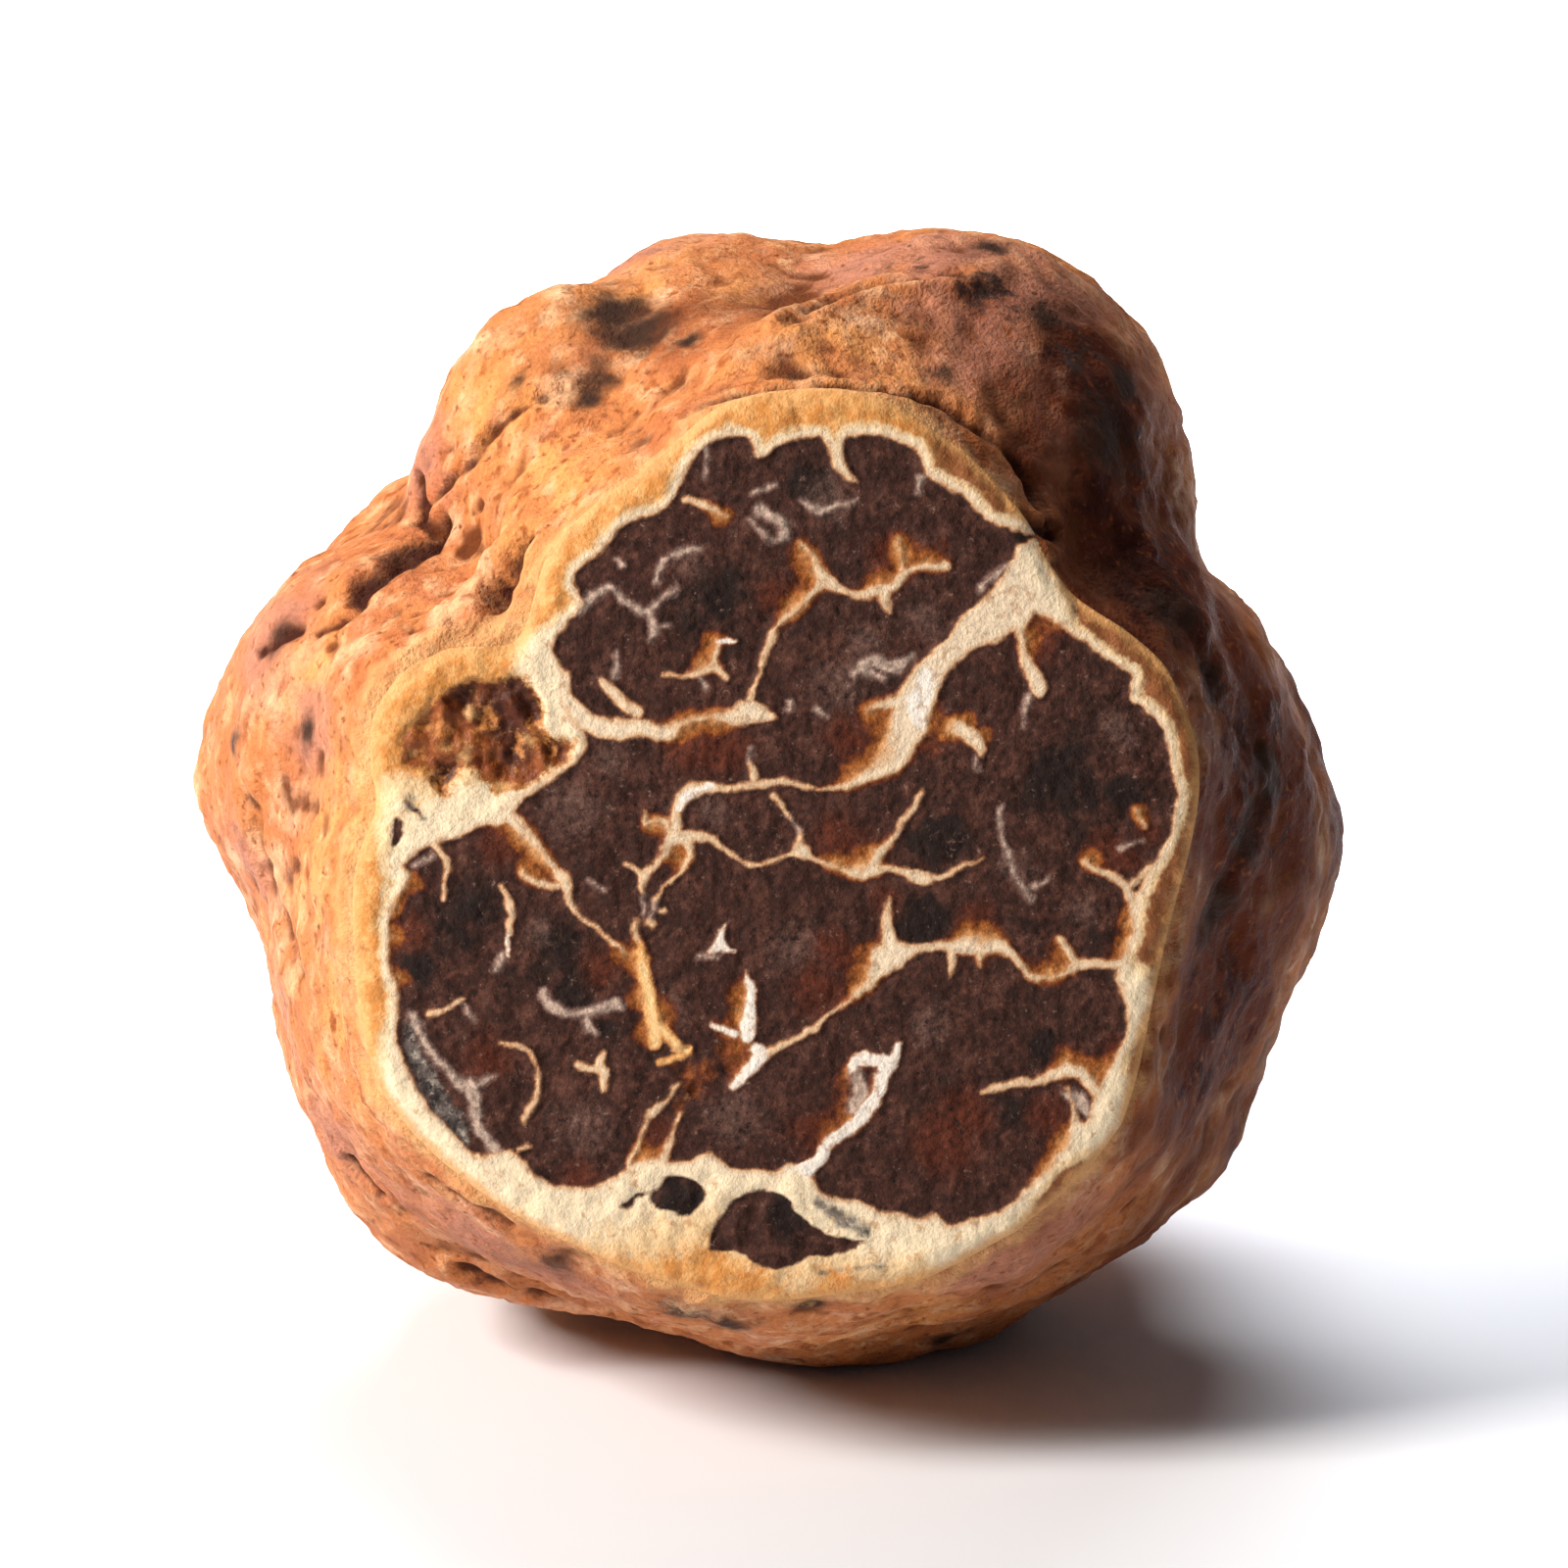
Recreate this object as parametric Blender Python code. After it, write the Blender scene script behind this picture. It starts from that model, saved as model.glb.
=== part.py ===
"""A knobbly truffle with one end sliced off, resting on a small flat spot.

The fruit body grew as one piece, so it is one solid. Its form is a core with rounded lobes grown into
each other, worked out as one smooth field and reached by rays from the core's centre. A knife has
taken a slice off the front: the cut face shows dark chambers, sunk a little as they dry, between a net
of pale veins that stays level with the cut.

Lengths are in millimetres until the finished mesh is scaled to metres. The form is laid out in the cut
face's own frame: a runs to the right, b up along the face, c out of it, all from the core's centre.
"""

import math

import bmesh
import bpy
import numpy as np
from mathutils import Matrix, Vector, noise

MM = 0.001

# Driving sizes
CUT_DISTANCE = 18.0  # from the core's centre to the knife's plane
CUT_LEAN = math.radians(11.0)  # how far the cut face leans back from upright
FLAT_SPOT_HEIGHT = -26.6  # the level of the flat spot under the core's centre
CELLS = 29  # grid cells along each edge of the cube that is swollen into the truffle
FARTHEST = 36.0  # no part of the truffle is farther than this from the core's centre
LOBE_BLEND = 0.9  # how softly neighbouring lobes run together
WANDER_SEED = 5  # the wander of the form is the same on every run
CHAMBER_DEPTH = 0.4  # how far the dark chambers are sunk below the cut
VEIN_STEP = 1.1  # spacing of the points along a vein's edge

# Lobes: centre (a, b, c), radii (along, across, c), and the turn of the first radius about c in degrees
LOBES = {
    "core": ((0.0, 0.0, -1.5), (21.0, 21.6, 21.5), 0),
    "left_shoulder": ((-17.9, 5.0, 1.0), (10.7, 6.6, 11.0), 45),
    "left_flank": ((-11.0, -7.5, 1.5), (12.4, 13.6, 14.0), 0),
    "upper_left_knob": ((-8.4, 16.0, 3.0), (7.5, 7.7, 9.0), 0),
    "crown": ((-1.0, 18.4, -3.0), (9.5, 8.1, 9.5), 0),
    "brow": ((9.0, 15.5, 1.5), (10.6, 11.9, 12.5), 0),
    "right_cheek": ((15.5, -1.5, -1.0), (11.4, 12.4, 13.0), 0),
    "right_heel": ((9.6, -12.6, 0.0), (12.4, 11.4, 12.5), 0),
    "foot": ((3.0, -18.9, -4.0), (12.4, 9.0, 13.0), 0),
    "left_heel": ((-9.4, -14.4, -2.5), (10.9, 10.3, 12.5), 0),
    "notch_bud": ((-15.4, 11.0, -6.0), (3.8, 3.2, 5.0), 0),
    "back_top": ((4.0, 9.0, -14.5), (12.0, 11.0, 10.5), 0),
    "back_left": ((-10.5, 1.5, -13.0), (11.5, 11.0, 11.5), 0),
    "back_right": ((12.5, -3.0, -13.5), (11.0, 11.5, 11.0), 0),
    "back_low": ((-1.0, -12.5, -14.0), (13.0, 10.0, 10.5), 0),
    "back_hub": ((1.0, -1.0, -18.5), (9.0, 8.5, 8.0), 0),
}

# Outline of the sliced end where the knife met the skin, (a, b), closed, clockwise from the left
RIM = [
    (-18.9, -1.0), (-19.0, -5.0), (-18.8, -8.4), (-17.8, -11.9), (-15.9, -14.0), (-13.4, -16.2),
    (-8.8, -18.8), (-4.1, -20.6), (-0.3, -21.3), (5.7, -20.5), (9.6, -18.9), (13.4, -16.3),
    (16.2, -13.2), (17.5, -8.9), (18.2, -4.8), (19.4, -0.6), (19.9, 3.1), (19.2, 6.4), (17.6, 9.0),
    (14.6, 11.0), (13.3, 12.2), (12.4, 14.2), (9.9, 17.0), (7.0, 19.4), (4.2, 20.8), (0.4, 20.9),
    (-2.6, 20.0), (-5.0, 17.9), (-7.4, 16.1), (-9.6, 14.1), (-10.7, 11.3), (-11.2, 9.0),
    (-13.6, 9.2), (-16.8, 7.9), (-18.1, 5.9), (-18.3, 3.4), (-17.8, 1.6),
]
RIM_FLARE = 4.4  # how far the skin spreads outward from the rim, well behind the cut
FLARE_DEPTH = 6.5  # how quickly it does so

# Outline of the dark flesh on the cut face, (a, b), closed, clockwise from the top
FLESH = [
    (-3.8, 18.0), (-1.9, 19.0), (1.5, 19.1), (5.7, 19.2), (7.8, 17.8), (10.0, 16.0), (11.9, 14.3),
    (12.1, 12.4), (13.3, 10.5), (15.5, 9.3), (17.4, 7.7), (18.6, 5.4), (19.0, 3.0), (18.7, 0.4),
    (17.7, -1.5), (17.2, -3.5), (17.2, -6.1), (16.6, -9.0), (15.7, -11.2), (14.3, -13.3),
    (12.9, -15.6), (11.0, -17.1), (8.4, -18.0), (5.0, -17.3), (2.4, -16.3), (0.6, -15.4),
    (-1.9, -15.2), (-4.6, -15.1), (-6.3, -15.4), (-8.8, -16.4), (-11.2, -15.4), (-13.3, -13.7),
    (-14.9, -11.9), (-16.8, -9.7), (-17.6, -7.2), (-17.8, -4.5), (-17.3, -1.7), (-16.0, 0.0),
    (-13.3, 0.8), (-11.6, 1.6), (-9.1, 4.0), (-9.7, 6.2), (-10.1, 8.5), (-9.5, 11.4), (-8.4, 13.9),
    (-6.5, 15.4), (-4.6, 16.1),
]
# A brown chamber beside it, and two small dark ones in the pale flesh below
SIDE_CHAMBER = [
    (-16.0, 7.0), (-13.5, 8.2), (-11.2, 7.7), (-10.3, 6.2), (-9.3, 4.8), (-10.7, 3.2), (-12.4, 2.4),
    (-14.1, 2.8), (-15.9, 2.4), (-17.0, 3.7), (-17.0, 5.4),
]
SMALL_CHAMBER = [(-5.6, -16.8), (-4.9, -15.9), (-3.6, -16.0), (-3.0, -16.8), (-3.6, -17.5), (-4.9, -17.6)]
LOW_CHAMBER = [
    (-3.0, -18.8), (-1.9, -17.2), (-0.2, -16.6), (1.4, -17.0), (2.5, -18.2), (4.3, -19.1), (1.9, -19.7),
    (-0.2, -20.0), (-1.9, -19.5),
]

# Pale veins on the cut face: points (a, b, half width)
VEINS = {
    "rim_inlet_top": [(3.3, 19.6, 0.4), (3.4, 18.2, 0.3), (3.9, 17.0, 0.2)],
    "rim_bump_top": [(-0.3, 19.6, 0.55), (-0.2, 18.6, 0.3)],
    "upper_divide": [
        (-4.4, 16.7, 0.3), (-2.7, 15.8, 0.25), (-1.3, 15.4, 0.2), (1.2, 14.0, 0.2), (2.5, 12.3, 0.3),
    ],
    "hook": [(2.5, 12.3, 0.3), (3.8, 11.6, 0.3), (5.2, 11.9, 0.28), (6.9, 12.8, 0.25), (8.3, 13.4, 0.2)],
    "hook_spur": [(6.3, 12.6, 0.2), (5.9, 13.8, 0.15)],
    "round_chamber_right": [
        (2.5, 12.3, 0.35), (0.7, 10.6, 0.22), (0.0, 9.9, 0.22), (-0.3, 8.5, 0.2), (-1.4, 5.8, 0.28),
    ],
    "round_chamber_bottom": [
        (-10.4, 7.9, 0.45), (-8.9, 6.1, 0.4), (-7.2, 5.3, 0.7), (-4.2, 5.4, 0.35), (-1.4, 5.8, 0.35),
    ],
    "left_thick": [(-7.2, 5.3, 0.7), (-8.8, 4.1, 0.55), (-10.3, 2.9, 0.45), (-11.8, 1.9, 0.6)],
    "left_middle": [
        (-11.7, 1.9, 0.45), (-11.2, 0.3, 0.3), (-9.4, -2.2, 0.22), (-8.2, -4.0, 0.2), (-6.2, -5.0, 0.25),
    ],
    "stem": [
        (-5.6, -2.4, 0.2), (-6.1, -4.6, 0.25), (-5.7, -7.2, 0.4), (-5.6, -9.0, 0.45), (-5.2, -10.3, 0.3),
    ],
    "stem_fork": [(-5.6, -2.4, 0.2), (-4.5, 0.3, 0.25), (-4.2, 1.6, 0.3), (-3.9, 2.7, 0.4)],
    "middle": [
        (-3.9, 2.7, 0.45), (-2.5, 2.9, 0.3), (-0.6, 3.1, 0.28), (1.5, 2.4, 0.22), (3.5, 2.4, 0.28),
        (5.2, 3.1, 0.35), (6.3, 4.3, 0.55),
    ],
    "broad_white": [
        (12.3, 13.3, 0.4), (11.7, 10.8, 0.76), (9.9, 9.6, 0.7), (8.2, 8.5, 0.57), (7.2, 7.2, 0.53),
        (6.8, 5.8, 0.68), (5.9, 4.1, 0.6),
    ],
    "white_spur": [(11.9, 10.8, 0.4), (12.1, 9.1, 0.34), (12.5, 7.6, 0.45), (12.2, 6.4, 0.15)],
    "right_hook": [(8.0, 5.0, 0.22), (9.0, 5.3, 0.3), (9.7, 4.6, 0.34), (9.8, 3.6, 0.15)],
    "low_pair_divide": [(-1.2, 5.7, 0.3), (-1.0, 4.4, 0.2), (-0.6, 3.0, 0.3)],
    "low_pair_top": [(-1.4, 5.8, 0.38), (0.8, 6.3, 0.2), (2.7, 6.5, 0.15), (4.4, 6.7, 0.15)],
    "grey_smear": [(3.8, 7.6, 0.22), (5.2, 8.2, 0.26), (6.7, 8.2, 0.2)],
    "lens_bottom": [
        (-4.6, 0.1, 0.2), (-2.7, -0.2, 0.22), (-0.8, -0.9, 0.2), (1.2, -0.4, 0.2), (3.3, -0.9, 0.24),
        (5.2, -1.2, 0.32),
    ],
    "lens_divide": [(0.3, 2.5, 0.2), (1.4, 0.9, 0.2), (1.2, -0.4, 0.2)],
    "lens_up": [(5.2, -1.2, 0.38), (6.1, 0.1, 0.24), (7.2, 2.2, 0.2)],
    "right_under": [(5.2, -1.2, 0.34), (6.7, -1.6, 0.3), (8.4, -1.5, 0.22), (10.7, -0.4, 0.15)],
    "pale_patch": [(5.7, -3.3, 0.2), (5.1, -4.6, 0.6), (4.5, -6.1, 0.3)],
    "right_level": [
        (5.0, -4.6, 0.5), (6.5, -4.8, 0.34), (8.0, -4.9, 0.3), (9.6, -4.5, 0.42), (11.1, -4.7, 0.42),
        (12.6, -5.5, 0.3), (14.3, -6.0, 0.3), (17.6, -5.5, 0.46),
    ],
    "level_spur": [(14.1, -5.8, 0.2), (13.5, -4.9, 0.2)],
    "diagonal": [
        (4.5, -6.1, 0.3), (1.9, -8.4, 0.2), (0.3, -9.6, 0.22), (-0.8, -10.4, 0.34), (-1.7, -11.4, 0.18),
    ],
    "right_curl": [(17.6, -4.5, 0.4), (17.0, -2.4, 0.3), (16.0, -1.3, 0.27), (15.0, -0.6, 0.18)],
    "lower_white": [
        (0.5, -15.9, 0.5), (1.9, -14.4, 0.34), (3.5, -13.0, 0.38), (4.7, -11.7, 0.7), (5.7, -9.9, 0.22),
    ],
    "right_thorn": [(10.1, -11.9, 0.18), (11.9, -11.4, 0.23), (13.4, -10.9, 0.3), (16.2, -11.5, 0.5)],
    "short_white": [(-1.1, -6.1, 0.18), (-1.0, -7.6, 0.3), (-1.1, -9.0, 0.34), (-1.8, -9.6, 0.2)],
    "speck": [(-2.4, -4.0, 0.15), (-2.3, -4.9, 0.24)],
    "speck_foot": [(-3.0, -5.2, 0.15), (-1.7, -5.1, 0.15)],
    "cup": [(-10.8, -6.5, 0.18), (-10.5, -7.7, 0.22), (-8.9, -8.2, 0.2), (-7.2, -7.8, 0.22)],
    "cup_spur": [(-8.2, -8.1, 0.18), (-7.9, -8.8, 0.15)],
    "squiggle": [(-12.6, -9.7, 0.18), (-11.6, -10.2, 0.2), (-11.0, -11.5, 0.2), (-11.5, -13.1, 0.22)],
    "star": [(-9.2, -10.3, 0.18), (-8.4, -10.7, 0.22), (-7.7, -11.5, 0.2)],
    "star_arm": [(-7.9, -9.9, 0.15), (-8.2, -10.8, 0.2)],
    "left_band": [(-17.9, -8.5, 0.3), (-15.8, -8.3, 0.22), (-14.4, -7.5, 0.22)],
    "left_edge_band": [(-16.9, -8.4, 0.3), (-15.3, -10.4, 0.34), (-14.4, -12.2, 0.38), (-13.2, -14.0, 0.38)],
    "left_edge_hook": [(-15.2, -10.6, 0.22), (-13.5, -11.0, 0.2), (-12.6, -10.5, 0.12)],
    "divide_left": [(-12.6, -2.4, 0.2), (-12.3, -3.8, 0.24), (-12.6, -5.1, 0.2), (-13.3, -6.1, 0.15)],
    "left_rim_spur": [(-18.2, -4.6, 0.24), (-16.5, -4.5, 0.2), (-15.5, -3.8, 0.15)],
    "left_top_spur": [(-15.4, 0.5, 0.28), (-15.3, -1.5, 0.2), (-15.5, -2.7, 0.15)],
    "low_twin_left": [(-4.2, -11.0, 0.15), (-5.1, -12.4, 0.2), (-5.9, -13.8, 0.18), (-6.4, -15.7, 0.24)],
    "low_twin_right": [(-3.7, -12.5, 0.15), (-4.5, -13.8, 0.18), (-5.0, -15.6, 0.3)],
    "round_inner_low": [(-5.2, 7.6, 0.15), (-3.9, 8.1, 0.2), (-2.3, 8.0, 0.22), (-2.4, 9.3, 0.15)],
    "round_inner_left": [(-7.2, 8.7, 0.15), (-7.0, 7.2, 0.2), (-7.2, 5.2, 0.24)],
    "round_inner_mid": [(-6.1, 11.4, 0.15), (-5.5, 10.3, 0.18), (-4.9, 9.6, 0.15)],
    "round_inner_arc": [(-9.4, 10.7, 0.2), (-7.8, 11.4, 0.18), (-6.1, 11.3, 0.15)],
    "small_right_spur": [(11.8, -2.3, 0.15), (12.5, -2.5, 0.2), (13.1, -2.2, 0.15)],
}

# Folds and ridges of the skin: points (a, b, c), half width, and rise (a fold's is below zero)
FOLDS = {
    "above_the_lip": (
        [
            (-6.2, 19.6, 14.2), (-4.0, 20.9, 14.6), (0.4, 22.2, 15.6), (3.4, 22.2, 15.6),
            (6.0, 21.4, 15.4), (8.4, 20.0, 15.2), (10.6, 18.0, 15.0), (12.6, 15.6, 15.4),
        ],
        1.1, -0.8,
    ),
    "brow_ridge": (
        [(10.0, 25.5, 8.0), (5.6, 24.6, 10.2), (1.9, 23.9, 12.3), (-1.0, 22.8, 13.4)],
        1.5, 0.7,
    ),
    "brow_and_crown": (
        [
            (3.4, 26.2, 3.4), (2.6, 25.2, 6.4), (0.6, 24.6, 8.5), (-2.2, 23.2, 11.4), (-5.0, 21.4, 12.6),
            (-7.6, 19.2, 13.0),
        ],
        1.5, -1.1,
    ),
    "knob_and_crown": (
        [(-7.0, 23.5, -3.0), (-7.6, 24.2, 4.4), (-7.0, 23.0, 8.4), (-8.0, 21.3, 10.3), (-9.4, 19.5, 11.4)],
        1.4, -1.0,
    ),
    "shoulder_fold": (
        [
            (-17.0, 12.5, 0.0), (-16.4, 14.4, 6.5), (-14.9, 13.1, 10.4), (-13.7, 12.2, 12.8),
            (-15.3, 10.9, 14.2),
        ],
        1.5, -1.3,
    ),
    "lip_ridge": (
        [(-11.6, 13.2, 15.2), (-13.4, 11.2, 15.0), (-16.2, 10.2, 14.6), (-18.8, 7.6, 14.8)],
        1.2, 0.5,
    ),
    "shoulder_ridge": ([(-17.4, 11.4, 10.2), (-20.6, 9.1, 7.9), (-24.3, 6.7, 1.9)], 1.6, 0.5),
    "right_valley": (
        [
            (14.8, 13.2, 15.4), (17.9, 10.8, 14.6), (20.4, 7.9, 14.2), (21.6, 3.8, 14.0), (21.5, -0.4, 13.8),
            (20.5, -4.8, 13.8), (19.6, -9.2, 13.4),
        ],
        1.9, -0.9,
    ),
    "cheek_dip": ([(20.6, 12.0, -2.0), (20.8, 11.4, 5.1), (21.9, 8.4, 9.8), (23.4, 4.6, 10.6)], 1.6, -0.8),
    "low_fold": (
        [
            (-20.6, -12.5, 9.0), (-19.3, -15.8, 8.6), (-15.9, -20.0, 7.6), (-11.0, -22.6, 6.4),
            (-5.7, -24.2, 6.0), (-0.4, -25.2, 5.0),
        ],
        1.4, -0.9,
    ),
    "back_fold": (
        [
            (-3.0, 22.0, -10.0), (-3.0, 12.0, -21.0), (1.5, 2.0, -25.0), (1.0, -9.0, -23.0),
            (4.5, -18.0, -16.0),
        ],
        2.0, -1.8,
    ),
    "back_fold_left": (
        [(-1.5, 8.0, -23.0), (-9.0, 10.5, -20.0), (-17.0, 9.5, -12.0), (-20.5, 6.5, -4.0)],
        1.8, -1.4,
    ),
    "back_fold_right": (
        [(1.2, -4.0, -24.5), (9.0, -9.0, -21.0), (17.0, -10.5, -13.0), (22.5, -9.5, -4.0)],
        1.8, -1.4,
    ),
}


def cut_frame_to_world():
    """The matrix from the cut face's frame to the one the truffle stands in."""
    right = Vector((1.0, 0.0, 0.0))
    up = Vector((0.0, math.sin(CUT_LEAN), math.cos(CUT_LEAN)))
    out = Vector((0.0, -math.cos(CUT_LEAN), math.sin(CUT_LEAN)))
    return Matrix((right, up, out)).transposed().to_4x4()


def lobe_fields(points):
    """How far each point is outside each lobe, in millimetres, one row for each lobe."""
    rows = []
    for centre, radii, turn in LOBES.values():
        da, db, dc = (points - np.array(centre)).T
        cosine, sine = math.cos(math.radians(turn)), math.sin(math.radians(turn))
        along, across = cosine * da + sine * db, cosine * db - sine * da
        swell = np.sqrt((along / radii[0]) ** 2 + (across / radii[1]) ** 2 + (dc / radii[2]) ** 2)
        rows.append((swell - 1.0) * min(radii))
    return np.array(rows)


def sliced_end_field(points, rim):
    """How far each point is outside the sliced end, which spreads from the rim with depth."""
    flat = points[:, :2]
    nearest = np.full(len(points), 1e9)
    inside = np.zeros(len(points), bool)
    for start, end in zip(rim, np.roll(rim, -1, axis=0)):
        side = end - start
        offset = flat - start
        along = np.clip(offset @ side / (side @ side), 0.0, 1.0)
        nearest = np.minimum(nearest, np.linalg.norm(offset - along[:, None] * side, axis=1))
        crosses = (start[1] > flat[:, 1]) != (end[1] > flat[:, 1])
        inside ^= crosses & (offset[:, 0] < side[0] * offset[:, 1] / (side[1] if side[1] else 1e-9))
    depth = CUT_DISTANCE - points[:, 2]
    behind = RIM_FLARE * (1.0 - np.exp(-np.maximum(depth, 0.0) / FLARE_DEPTH))
    outside = np.where(inside, -nearest, nearest) - np.where(depth > 0.0, behind, depth)
    return np.maximum(outside, depth - CUT_DISTANCE)


def body_field(points, drift, rim):
    """Below zero inside the truffle: the lobes run together by a soft minimum."""
    fields = np.vstack([lobe_fields(points + drift), sliced_end_field(points + drift * 0.2, rim)])
    least = fields.min(axis=0)
    return least - LOBE_BLEND * np.log(np.exp((least - fields) / LOBE_BLEND).sum(axis=0))


def reach(directions, drift):
    """Distance along each ray at which it last leaves the truffle."""
    rim = smooth_path(RIM, 2.0, closed=True)
    steps = np.arange(FARTHEST, 8.0, -0.5)
    inside_at = np.full(len(directions), steps[-1])
    found = np.zeros(len(directions), bool)
    for step in steps:
        hit = ~found & (body_field(directions * step, drift, rim) < 0.0)
        inside_at[hit] = step
        found |= hit
    low, high = inside_at, inside_at + 0.5
    for _ in range(14):
        middle = (low + high) / 2
        inside = body_field(directions * middle[:, None], drift, rim) < 0.0
        low = np.where(inside, middle, low)
        high = np.where(inside, high, middle)
    return low


def skin_drift(directions):
    """A slow wander of the form, so that no lobe is a true ellipsoid."""
    broad = [noise.noise_vector(Vector(d) * 2.1 + Vector((7.3, 1.9, 4.4))) for d in directions]
    fine = [noise.noise_vector(Vector(d) * 5.6 + Vector((2.7, 8.1, 0.6))) for d in directions]
    return np.array(broad) * 1.3 + np.array(fine) * 0.55


def distance_to_line(points, line):
    """Shortest distance from each point to a line through the given corners."""
    nearest = np.full(len(points), 1e9)
    for start, end in zip(line[:-1], line[1:]):
        start, end = np.array(start), np.array(end)
        side = end - start
        along = np.clip((points - start) @ side / (side @ side), 0.0, 1.0)
        nearest = np.minimum(nearest, np.linalg.norm(points - start - along[:, None] * side, axis=1))
    return nearest


def new_object(name, mesh, collection):
    """An object for the mesh, in its collection."""
    made = bpy.data.objects.new(name, mesh)
    collection.objects.link(made)
    return made


def truffle_mesh():
    """The whole fruit body before the knife, in the cut face's frame."""
    swollen = bmesh.new()
    bmesh.ops.create_cube(swollen, size=2.0)
    bmesh.ops.subdivide_edges(swollen, edges=swollen.edges[:], cuts=CELLS - 1, use_grid_fill=True)
    cube = np.array([v.co for v in swollen.verts])
    cube = np.tan(cube * (math.pi / 4))
    directions = cube / np.linalg.norm(cube, axis=1, keepdims=True)
    points = directions * reach(directions, skin_drift(directions))[:, None]
    rise = np.zeros(len(points))
    for line, half_width, height in FOLDS.values():
        rise += height * np.exp(-((distance_to_line(points, line) / half_width) ** 2))
    points += directions * rise[:, None]
    for vertex, point in zip(swollen.verts, points):
        vertex.co = point
    return swollen


def slice_off(body, point, outward):
    """Cuts the body by a plane, drops what lies outward of it and closes the cut with one face."""
    everything = body.verts[:] + body.edges[:] + body.faces[:]
    made = bmesh.ops.bisect_plane(
        body, geom=everything, dist=1e-4, plane_co=point, plane_no=outward, clear_outer=True
    )
    rim = [e for e in made["geom_cut"] if isinstance(e, bmesh.types.BMEdge)]
    bmesh.ops.contextual_create(body, geom=rim)


def smooth_path(points, step, closed):
    """Points about step apart on a smooth curve through the given ones (Catmull-Rom)."""
    points = np.array(points, float)
    count = len(points)
    spans = count if closed else count - 1
    made = []
    for i in range(spans):
        if closed:
            p0, p1, p2, p3 = (points[(i + k) % count] for k in (-1, 0, 1, 2))
        else:
            p0, p1, p2, p3 = (points[min(max(i + k, 0), count - 1)] for k in (-1, 0, 1, 2))
        pieces = max(1, round(np.linalg.norm((p2 - p1)[:2]) / step))
        for t in np.arange(pieces) / pieces:
            curving = (2 * p0 - 5 * p1 + 4 * p2 - p3) * t**2 + (3 * p1 - p0 - 3 * p2 + p3) * t**3
            made.append(p1 + ((p2 - p0) * t + curving) / 2)
    if not closed:
        made.append(points[-1])
    return np.array(made)


def vein_outline(points):
    """The closed outline of a vein that is as wide as its points say, with blunt ends."""
    path = smooth_path(points, VEIN_STEP, closed=False)
    along = np.gradient(path[:, :2], axis=0)
    along /= np.linalg.norm(along, axis=1, keepdims=True)
    aside = np.stack([-along[:, 1], along[:, 0]], axis=1) * path[:, 2:]
    tip = path[-1:, :2] + along[-1:] * path[-1:, 2:] * 0.8
    tail = path[:1, :2] - along[:1] * path[:1, 2:] * 0.8
    left, right = path[:, :2] + aside, path[:, :2] - aside
    return np.concatenate([tail, left, tip, right[::-1]])


def prism(name, outlines, low, high, collection):
    """A cutter with the given flat outlines, between two levels above the core's centre."""
    curve = bpy.data.curves.new(name, "CURVE")
    curve.dimensions = "2D"
    curve.fill_mode = "BOTH"
    curve.extrude = (high - low) / 2
    for outline in outlines:
        spline = curve.splines.new("POLY")
        spline.points.add(len(outline) - 1)
        for point, (a, b) in zip(spline.points, outline):
            point.co = (a, b, 0.0, 1.0)
        spline.use_cyclic_u = True
    drawn = new_object(name + "_outline", curve, collection)
    graph = bpy.context.evaluated_depsgraph_get()
    mesh = bpy.data.meshes.new_from_object(drawn.evaluated_get(graph))
    mesh.name = name
    bpy.data.objects.remove(drawn)
    welded = bmesh.new()
    welded.from_mesh(mesh)
    bmesh.ops.remove_doubles(welded, verts=welded.verts, dist=1e-4)
    bmesh.ops.recalc_face_normals(welded, faces=welded.faces)
    bmesh.ops.translate(welded, verts=welded.verts, vec=(0.0, 0.0, (high + low) / 2))
    bmesh.ops.transform(welded, verts=welded.verts, matrix=Matrix.Scale(MM, 4))
    welded.to_mesh(mesh)
    welded.free()
    cutter = new_object(name, mesh, collection)
    cutter.hide_render = True
    cutter.display_type = "WIRE"
    return cutter


def subtract(target, cutter=None, collection=None):
    """Takes a cutter, or a collection of them, out of the target."""
    modifier = target.modifiers.new("cut", "BOOLEAN")
    modifier.operation = "DIFFERENCE"
    modifier.solver = "EXACT"
    if collection:
        modifier.operand_type = "COLLECTION"
        modifier.collection = collection
    else:
        modifier.object = cutter


def material(name, colour, roughness):
    """A plain finish."""
    made = bpy.data.materials.new(name)
    made.use_nodes = True
    shader = made.node_tree.nodes["Principled BSDF"]
    shader.inputs["Base Color"].default_value = (*colour, 1.0)
    shader.inputs["Roughness"].default_value = roughness
    shader.inputs["Metallic"].default_value = 0.0
    return made


for old in list(bpy.data.objects):
    bpy.data.objects.remove(old)
noise.seed_set(WANDER_SEED)

parts = bpy.data.collections.new("truffle")
cutters = bpy.data.collections.new("cutters")
veins = bpy.data.collections.new("veins")
for collection in (parts, cutters, veins):
    bpy.context.scene.collection.children.link(collection)

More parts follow.
